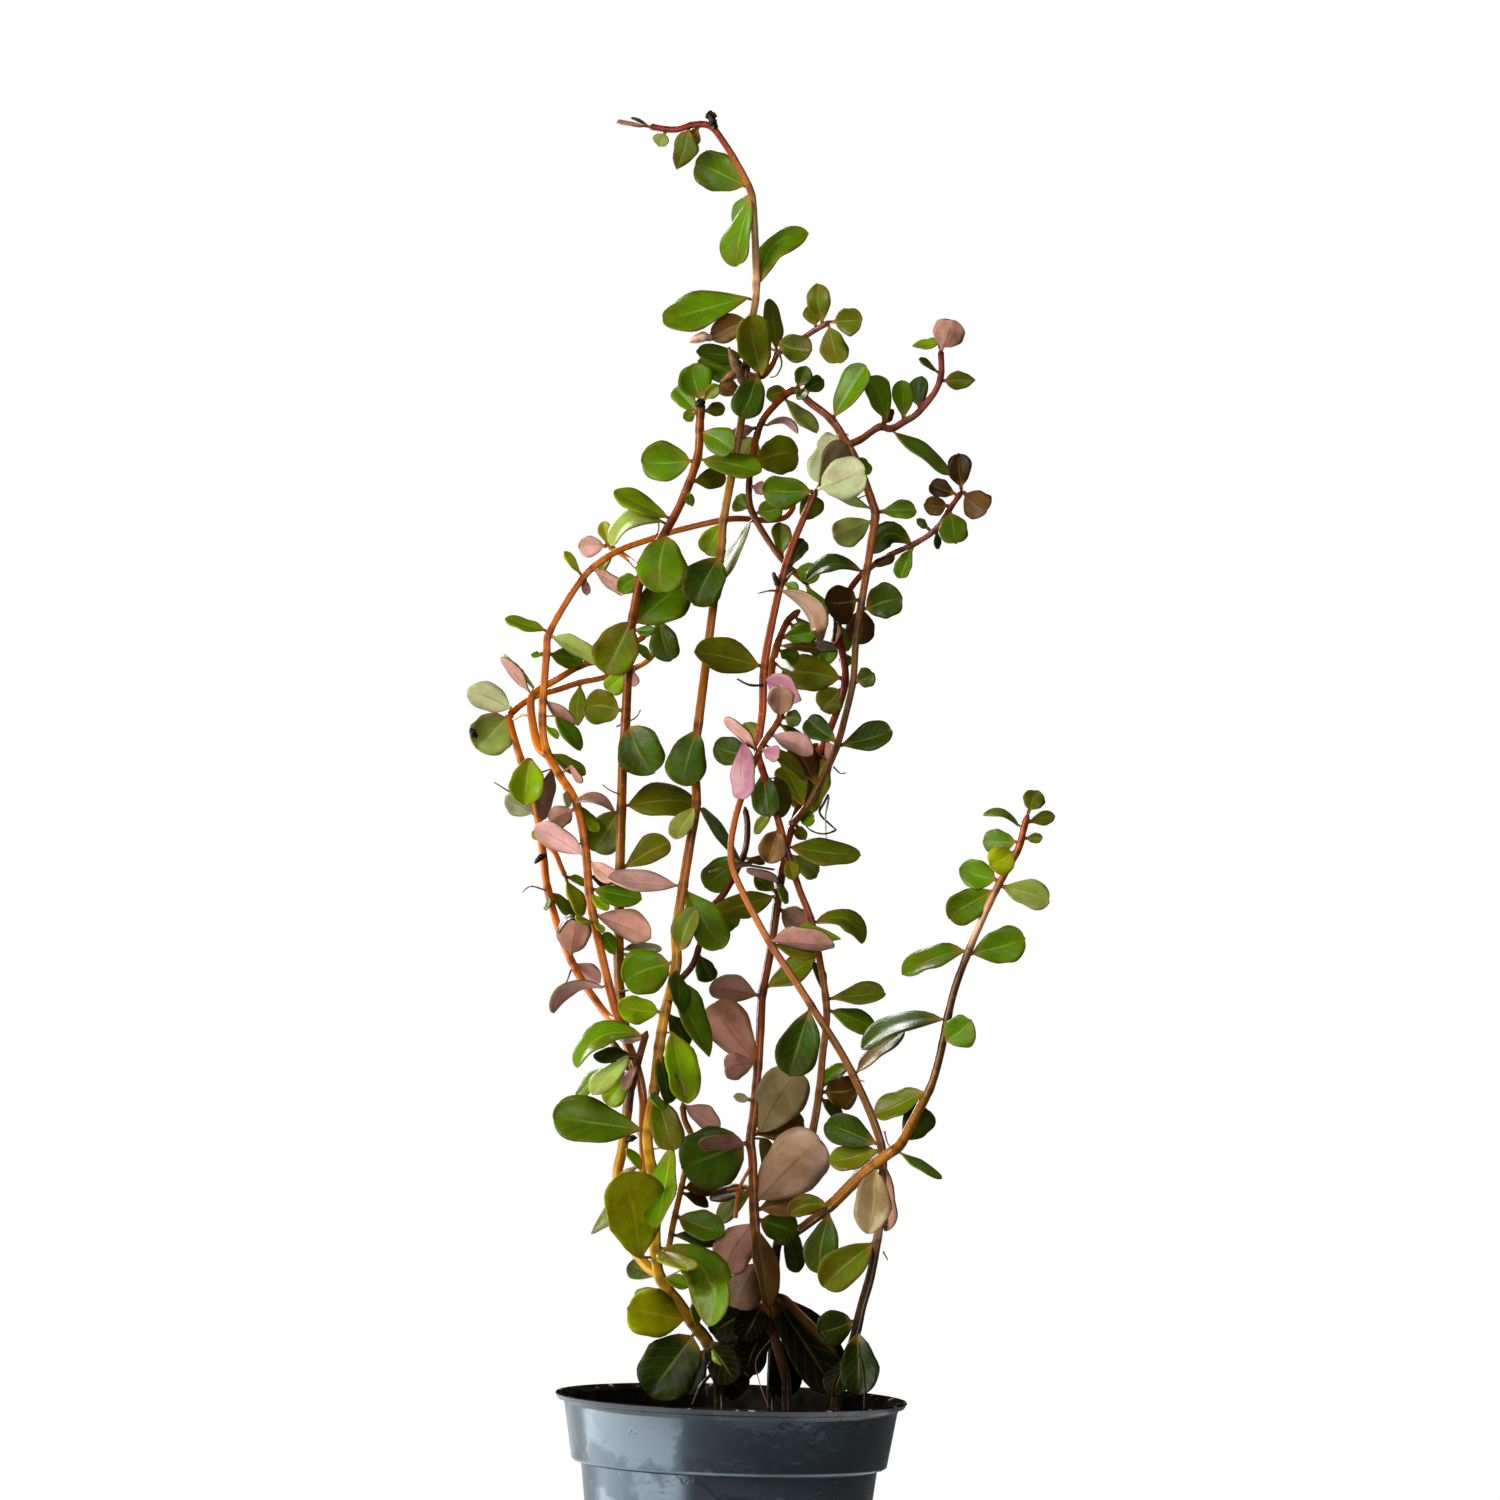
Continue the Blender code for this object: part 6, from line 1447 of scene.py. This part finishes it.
def leafMaterial(name, under):
    kit = Nodes(name)
    tint = kit.add("Attribute", attribute_name="away" if under else "tint").outputs["Color"]
    rim = kit.add("Attribute", attribute_name="back" if under else "rim").outputs["Color"]
    place = kit.add("UVMap", uv_map="leafMap").outputs["UV"]
    split = kit.feed(kit.add("SeparateXYZ"), Vector=place)
    along = split.outputs["X"]
    off = kit.math("ABSOLUTE", kit.math("MULTIPLY_ADD", split.outputs["Y"], 2.0, -1.0))
    # Side veins run out and on toward the tip, and the midrib fades before it.
    vein = kit.math("PINGPONG", kit.math("SUBTRACT", kit.times(along, 6.0), kit.times(off, 2.2)), 0.5)
    rib = kit.times(kit.ramp(off, 0.08, 0.02), kit.ramp(along, 0.95, 0.55))
    lines = kit.math("MAXIMUM", kit.times(kit.ramp(vein, 0.09, 0.0), 0.3), rib)
    broad = kit.ramp(kit.noise(150.0, 3.0), 0.35, 0.65)
    blotch = kit.ramp(kit.noise(420.0), 0.45, 0.65)
    fine = kit.noise(1500.0, 3.0)
    # The rim's tone comes in at the edge, toward the tip and in patches.
    edge = kit.times(kit.ramp(off, 0.6, 1.0), 0.7)
    tipward = kit.times(kit.ramp(along, 0.65, 1.0), 0.5)
    turning = kit.times(kit.math("MAXIMUM", edge, tipward), kit.math("ADD", broad, 0.25))
    patch = kit.times(kit.ramp(kit.noise(260.0, 3.0), 0.5, 0.62), 0.5)
    colour = kit.mix(kit.math("MAXIMUM", turning, patch), tint, rim)
    broadShade = (0.74, 0.6, 0.56) if under else (0.62, 0.5, 0.4)
    blotchShade = (0.7, 0.48, 0.44) if under else (0.6, 0.42, 0.3)
    colour = kit.mix(kit.times(broad, 0.7), colour, broadShade, "MULTIPLY")
    colour = kit.mix(kit.times(blotch, 0.35), colour, blotchShade, "MULTIPLY")
    if under:
        colour = kit.mix(kit.times(lines, 0.5), colour, (0.5, 0.3, 0.34), "MULTIPLY")
    else:
        pale = kit.mix(0.35, kit.mix(1.0, colour, (2.2, 1.9, 1.8), "MULTIPLY"), (0.42, 0.4, 0.1))
        colour = kit.mix(kit.times(lines, 0.5), colour, pale)
        colour = kit.mix(kit.times(kit.ramp(along, 0.2, 0.02), 0.6), colour, (0.26, 0.12, 0.015))
    colour = kit.mix(kit.times(kit.ramp(fine, 0.64, 0.78), 0.12), colour, (0.05, 0.03, 0.01))
    # The darkest leaves have the least gloss.
    value = kit.feed(kit.add("RGBToBW"), Color=tint).outputs[0]
    gloss = kit.math("MULTIPLY_ADD", kit.ramp(value, 0.012, 0.04), 0.09, 0.02)
    rough = kit.math("MULTIPLY_ADD", blotch, 0.14, 0.34 if under else 0.26)
    kit.skin(Base_Color=colour, Roughness=rough, Specular_IOR_Level=gloss)
    height = kit.math("ADD", kit.times(lines, 0.4 if under else -0.25), kit.times(fine, 0.6))
    kit.bump(kit.math("ADD", height, kit.times(broad, 0.8)), 0.4 if under else 0.25, 0.0002)
    lit = kit.mix(1.0, colour, (1.15, 1.1, 0.75), "MULTIPLY")
    kit.blend(0.32, kit.feed(kit.add("BsdfTranslucent"), Color=lit))
    return kit.material


def stemMaterial():
    kit = Nodes("stemSkin")
    tint = kit.add("Attribute", attribute_name="tint").outputs["Color"]
    streaks = kit.streaks((1500.0, 1500.0, 170.0), 4.0)
    blotch = kit.ramp(kit.noise(220.0, 3.0), 0.45, 0.68)
    colour = kit.mix(kit.times(blotch, 0.6), tint, (0.6, 0.42, 0.3), "MULTIPLY")
    colour = kit.mix(kit.times(kit.ramp(streaks, 0.5, 0.75), 0.45), colour, (0.35, 0.25, 0.2), "MULTIPLY")
    colour = kit.mix(kit.times(kit.ramp(kit.noise(1100.0), 0.6, 0.75), 0.2), colour, (0.5, 0.3, 0.1))
    rough = kit.math("MULTIPLY_ADD", blotch, 0.15, 0.22)
    kit.skin(Base_Color=colour, Roughness=rough, Specular_IOR_Level=0.16)
    kit.bump(streaks, 0.3, 0.0002)
    return kit.material


def potMaterial():
    # Dark plastic: glossy where it is dry, duller where it is wet, with a painted highlight line above the
    # step.
    kit = Nodes("potPlastic")
    streaks = kit.streaks((45.0, 45.0, 90.0), 3.0)
    drops = kit.ramp(kit.noise(380.0, 2.0), 0.66, 0.72)
    wet = kit.ramp(kit.noise(95.0, 4.0), 0.49, 0.55)
    runs = kit.ramp(kit.noise(60.0, 5.0), 0.55, 0.58)
    height = kit.height()
    # Painted highlight: a light line on the rounded edge just above the step, standing in for a reflection
    # there.
    edge = kit.times(kit.ramp(height, 0.0403, 0.0405), kit.ramp(height, 0.0409, 0.0407))
    edge = kit.times(edge, kit.ramp(streaks, 0.3, 0.6))
    colour = kit.mix(kit.ramp(streaks, 0.5, 0.75), (0.003, 0.0045, 0.0058), (0.007, 0.0105, 0.0135))
    colour = kit.mix(kit.times(drops, 0.15), colour, (0.10, 0.12, 0.14))
    colour = kit.mix(kit.times(edge, 0.7), colour, (0.11, 0.14, 0.16))
    rough = kit.math("MULTIPLY_ADD", streaks, 0.25, 0.1)
    kit.skin(Base_Color=colour, Roughness=rough, Specular_IOR_Level=0.85, Specular_Tint=(0.8, 0.92, 1.0))
    film = kit.math("ADD", kit.math("ADD", drops, streaks), kit.math("MULTIPLY_ADD", wet, 0.6, runs))
    kit.bump(film, 0.14, 0.0003)
    dull = kit.add("BsdfPrincipled")
    kit.feed(
        dull, Base_Color=colour, Roughness=kit.math("ADD", rough, 0.12), Specular_IOR_Level=0.5,
        Specular_Tint=(0.7, 0.92, 1.0),
    )
    kit.blend(kit.times(wet, kit.math("MULTIPLY_ADD", runs, -0.6, 0.8)), dull)
    return kit.material


def potInsideMaterial():
    # Grimy inside, with painted glints: whitish specks along the rim top.
    kit = Nodes("potInside")
    grime = kit.noise(260.0, 5.0)
    colour = kit.mix(kit.ramp(grime, 0.4, 0.7), (0.003, 0.0025, 0.002), (0.014, 0.011, 0.007))
    # Painted glints: whitish specks on the rim top, standing in for highlights.
    paintedGlints = kit.times(kit.ramp(kit.noise(420.0, 3.0), 0.6, 0.66), kit.ramp(kit.height(), 0.0495, 0.0499))
    colour = kit.mix(paintedGlints, colour, (0.2, 0.2, 0.19))
    rough = kit.math("MULTIPLY_ADD", grime, 0.3, 0.45)
    kit.skin(Base_Color=colour, Roughness=rough, Specular_IOR_Level=0.0)
    kit.bump(grime, 0.3, 0.0003)
    return kit.material


def mediumMaterial():
    kit = Nodes("mediumFibre")
    grain = kit.noise(700.0, 5.0)
    colour = kit.mix(kit.ramp(grain, 0.4, 0.7), (0.004, 0.003, 0.002), (0.03, 0.02, 0.01))
    kit.skin(Base_Color=colour, Roughness=0.85, Specular_IOR_Level=0.0)
    kit.bump(grain, 0.8, 0.0006)
    return kit.material


# The pot and the medium in it, each turned from an outline of (radius, height).
pot = {
    "height": 50.0, "flange": 25.15, "collarTop": 23.9, "collarFoot": 22.55, "step": 40.3, "bodyTop": 21.2,
    "foot": 16.5, "wall": 0.9, "segments": 128, "sharp": 50,
}
medium = {
    "foot": 1.3, "wall": [(14.9, 1.3), (19.5, 39.6), (20.9, 41.2), (21.6, 45.6), (20.8, 46.5)],
    "top": 46.6, "wave": 0.3, "waveTurn": 0.5, "middle": 46.8, "rings": 14, "segments": 72,
    "lumpsFrom": 45, "lump": (0.5, 0.55), "grit": (0.25, 1.7),
}


def spun(outline, segments):
    bm = bmesh.new()
    rim = [bm.verts.new((radius, 0, z)) for radius, z in outline]
    edges = [bm.edges.new(pair) for pair in zip(rim, rim[1:])]
    bmesh.ops.spin(
        bm, geom=rim + edges, cent=(0, 0, 0), axis=(0, 0, 1), angle=math.tau, steps=segments, use_merge=True
    )
    bmesh.ops.remove_doubles(bm, verts=bm.verts, dist=0.001)
    bmesh.ops.recalc_face_normals(bm, faces=bm.faces)
    return bm


def makePot():
    top = pot["height"]
    flange = pot["flange"]
    collar = pot["collarTop"]
    collarFoot = pot["collarFoot"]
    step = pot["step"]
    body = pot["bodyTop"]
    foot = pot["foot"]
    wall = pot["wall"]
    outline = [
        (0, 0), (foot - 0.6, 0), (foot - 0.15, 0.18), (foot, 0.6), (body - 0.02, step - 0.15),
        (body + 0.25, step), (collarFoot - 0.3, step + 0.15), (collarFoot, step + 0.4),
        (collarFoot + 0.02, step + 0.6), (collar - 0.12, top - 1.7), (collar + 0.02, top - 1.25),
        (collar + 0.25, top - 1.0), (flange - 0.42, top - 0.86), (flange - 0.3, top - 0.72),
        (flange - 0.02, top - 0.16), (flange - 0.1, top), (flange - 0.35, top), (collar + 0.1, top - 0.25),
        (collar - wall, top - 0.7), (collar - wall - 0.1, top - 1.1), (collarFoot - wall, step + 0.7),
        (body - wall, step - 0.3), (foot - wall, wall), (0, wall),
    ]
    bm = spun(outline, pot["segments"])
    for face in bm.faces:
        middle = face.calc_center_median()
        inward = face.normal.x * middle.x + face.normal.y * middle.y < 0.3 * middle.length
        face.material_index = 1 if face.normal.z > 0.4 or (inward and face.normal.z > -0.2) else 0
    piece = toObject(bm, "potShell", [potMaterial(), potInsideMaterial()])
    piece.data.set_sharp_from_angle(angle=math.radians(pot["sharp"]))
    dress(piece, "pot")


def makeMedium():
    rings = medium["rings"]
    edge = medium["wall"][-1][0]
    outline = [(0, medium["foot"]), *medium["wall"]]
    for ring in range(1, rings):
        height = medium["top"] + medium["wave"] * math.sin(ring * medium["waveTurn"])
        outline.append((edge * (1 - ring / rings), height))
    bm = spun(outline + [(0, medium["middle"])], medium["segments"])
    lump, lumpScale = medium["lump"]
    grit, gritScale = medium["grit"]
    for vert in bm.verts:
        if vert.co.z > medium["lumpsFrom"]:
            vert.co.z += lump * noise.noise(vert.co * lumpScale) + grit * noise.noise(vert.co * gritScale)
    piece = toObject(bm, "mediumPlug", [mediumMaterial()])
    dress(piece, "growing_medium")


# The stage: floor, lights and camera. A light with two sizes is a panel, one with a single size is round.
paleBlue = (0.84, 0.93, 1.0)
lights = {
    "keyLight": {"place": (-0.9, -0.6, 0.45), "target": 0.12, "size": (0.6,), "power": 22.0},
    "frontLight": {"place": (0.1, -1.2, 0.9), "target": 0.13, "size": (0.6,), "power": 10.0},
    "leftLight": {
        "place": (-0.62, -0.1, -0.1), "target": 0.03, "size": (1.2, 0.5), "power": 11.0,
        "colour": paleBlue,
    },
    "sideLight": {
        "place": (-0.46, 0.62, -0.12), "target": 0.03, "size": (0.75, 0.4), "power": 1.1,
        "colour": paleBlue,
    },
    "backLight": {"place": (-0.35, 0.85, 0.55), "target": 0.14, "size": (0.6,), "power": 16.0},
}
stage = {
    "floor": 110.0, "backdrop": 1.0, "skyLight": 0.14,
    "lens": 210.0, "sensor": 36.0, "nearest": 0.05, "roll": 1.9, "aside": 0.1,
}


def makeFloor():
    bm = bmesh.new()
    bmesh.ops.create_circle(bm, cap_ends=True, segments=64, radius=stage["floor"])
    kit = Nodes("paleFloor")
    kit.skin(Base_Color=(0.8, 0.8, 0.8), Roughness=0.8)
    toObject(bm, "floor", [kit.material])


def makeLight(name, plan):
    data = bpy.data.lights.new(name, "AREA")
    data.shape = "DISK" if len(plan["size"]) == 1 else "RECTANGLE"
    data.size = plan["size"][0]
    if len(plan["size"]) == 2:
        data.size_y = plan["size"][1]
    data.energy = plan["power"]
    data.color = plan.get("colour", (1, 1, 1))
    light = bpy.data.objects.new(name, data)
    light.location = plan["place"]
    way = Vector((0, 0, plan["target"])) - Vector(plan["place"])
    light.rotation_euler = way.to_track_quat("-Z", "Y").to_euler()
    bpy.context.scene.collection.objects.link(light)


def makeWorld():
    # White to the camera, and only a little light from all round.
    world = bpy.data.worlds.new("studioWorld")
    bpy.context.scene.world = world
    world.use_nodes = True
    tree = world.node_tree
    back = tree.nodes["Background"]
    path = tree.nodes.new("ShaderNodeLightPath")
    level = tree.nodes.new("ShaderNodeMapRange")
    level.inputs["To Min"].default_value = stage["skyLight"]
    level.inputs["To Max"].default_value = stage["backdrop"]
    tree.links.new(path.outputs["Is Camera Ray"], level.inputs["Value"])
    tree.links.new(level.outputs["Result"], back.inputs["Strength"])
    back.inputs["Color"].default_value = (1, 1, 1, 1)


def makeCamera():
    data = bpy.data.cameras.new("camera")
    data.lens = stage["lens"]
    data.sensor_width = stage["sensor"]
    data.clip_start = stage["nearest"]
    camera = bpy.data.objects.new("camera", data)
    roll = Matrix.Rotation(math.radians(stage["roll"]), 4, "Z")
    turn = Matrix.Rotation(math.radians(90), 4, "X") @ roll
    place = ((middleX + stage["aside"]) * mm, -seeFrom * mm, middleZ * mm)
    camera.matrix_world = Matrix.Translation(place) @ turn
    bpy.context.scene.collection.objects.link(camera)
    bpy.context.scene.camera = camera


makePot()
makeMedium()
print("pot and medium made")

leafSkins = [leafMaterial("leafUpper", False), leafMaterial("leafUnder", True)]
stemSkin = stemMaterial()
stems = {plan["node"]: Stem(plan) for plan in plans}
placed = [stemTree(stems[plan["node"]], stems.get(plan.get("parent"))) for plan in plans]
for index, plan in enumerate(plans):
    node = plan["node"]
    stem = stems[node]
    others = placed[:index] + placed[index + 1:]
    leaves = []
    for row in plan["leaves"]:
        leaves.append(settle(stem, row, others))
        placed.append(others[-1])
    words = node.split("_")
    name = words[0] + "".join(word.capitalize() for word in words[1:])
    makeStem(name + "Tube", plan, stem, leaves, stemSkin)
    makeLeaves(name + "Leaves", node, leaves, leafSkins)
    if "bits" in plan:
        growBits(name + "Bits", node, stem, plan["bits"], stemSkin)
print("stems and leaves made")

makeFloor()
for name, plan in lights.items():
    makeLight(name, plan)
makeWorld()
makeCamera()
bpy.context.scene.view_settings.view_transform = "Standard"

print("stage made")
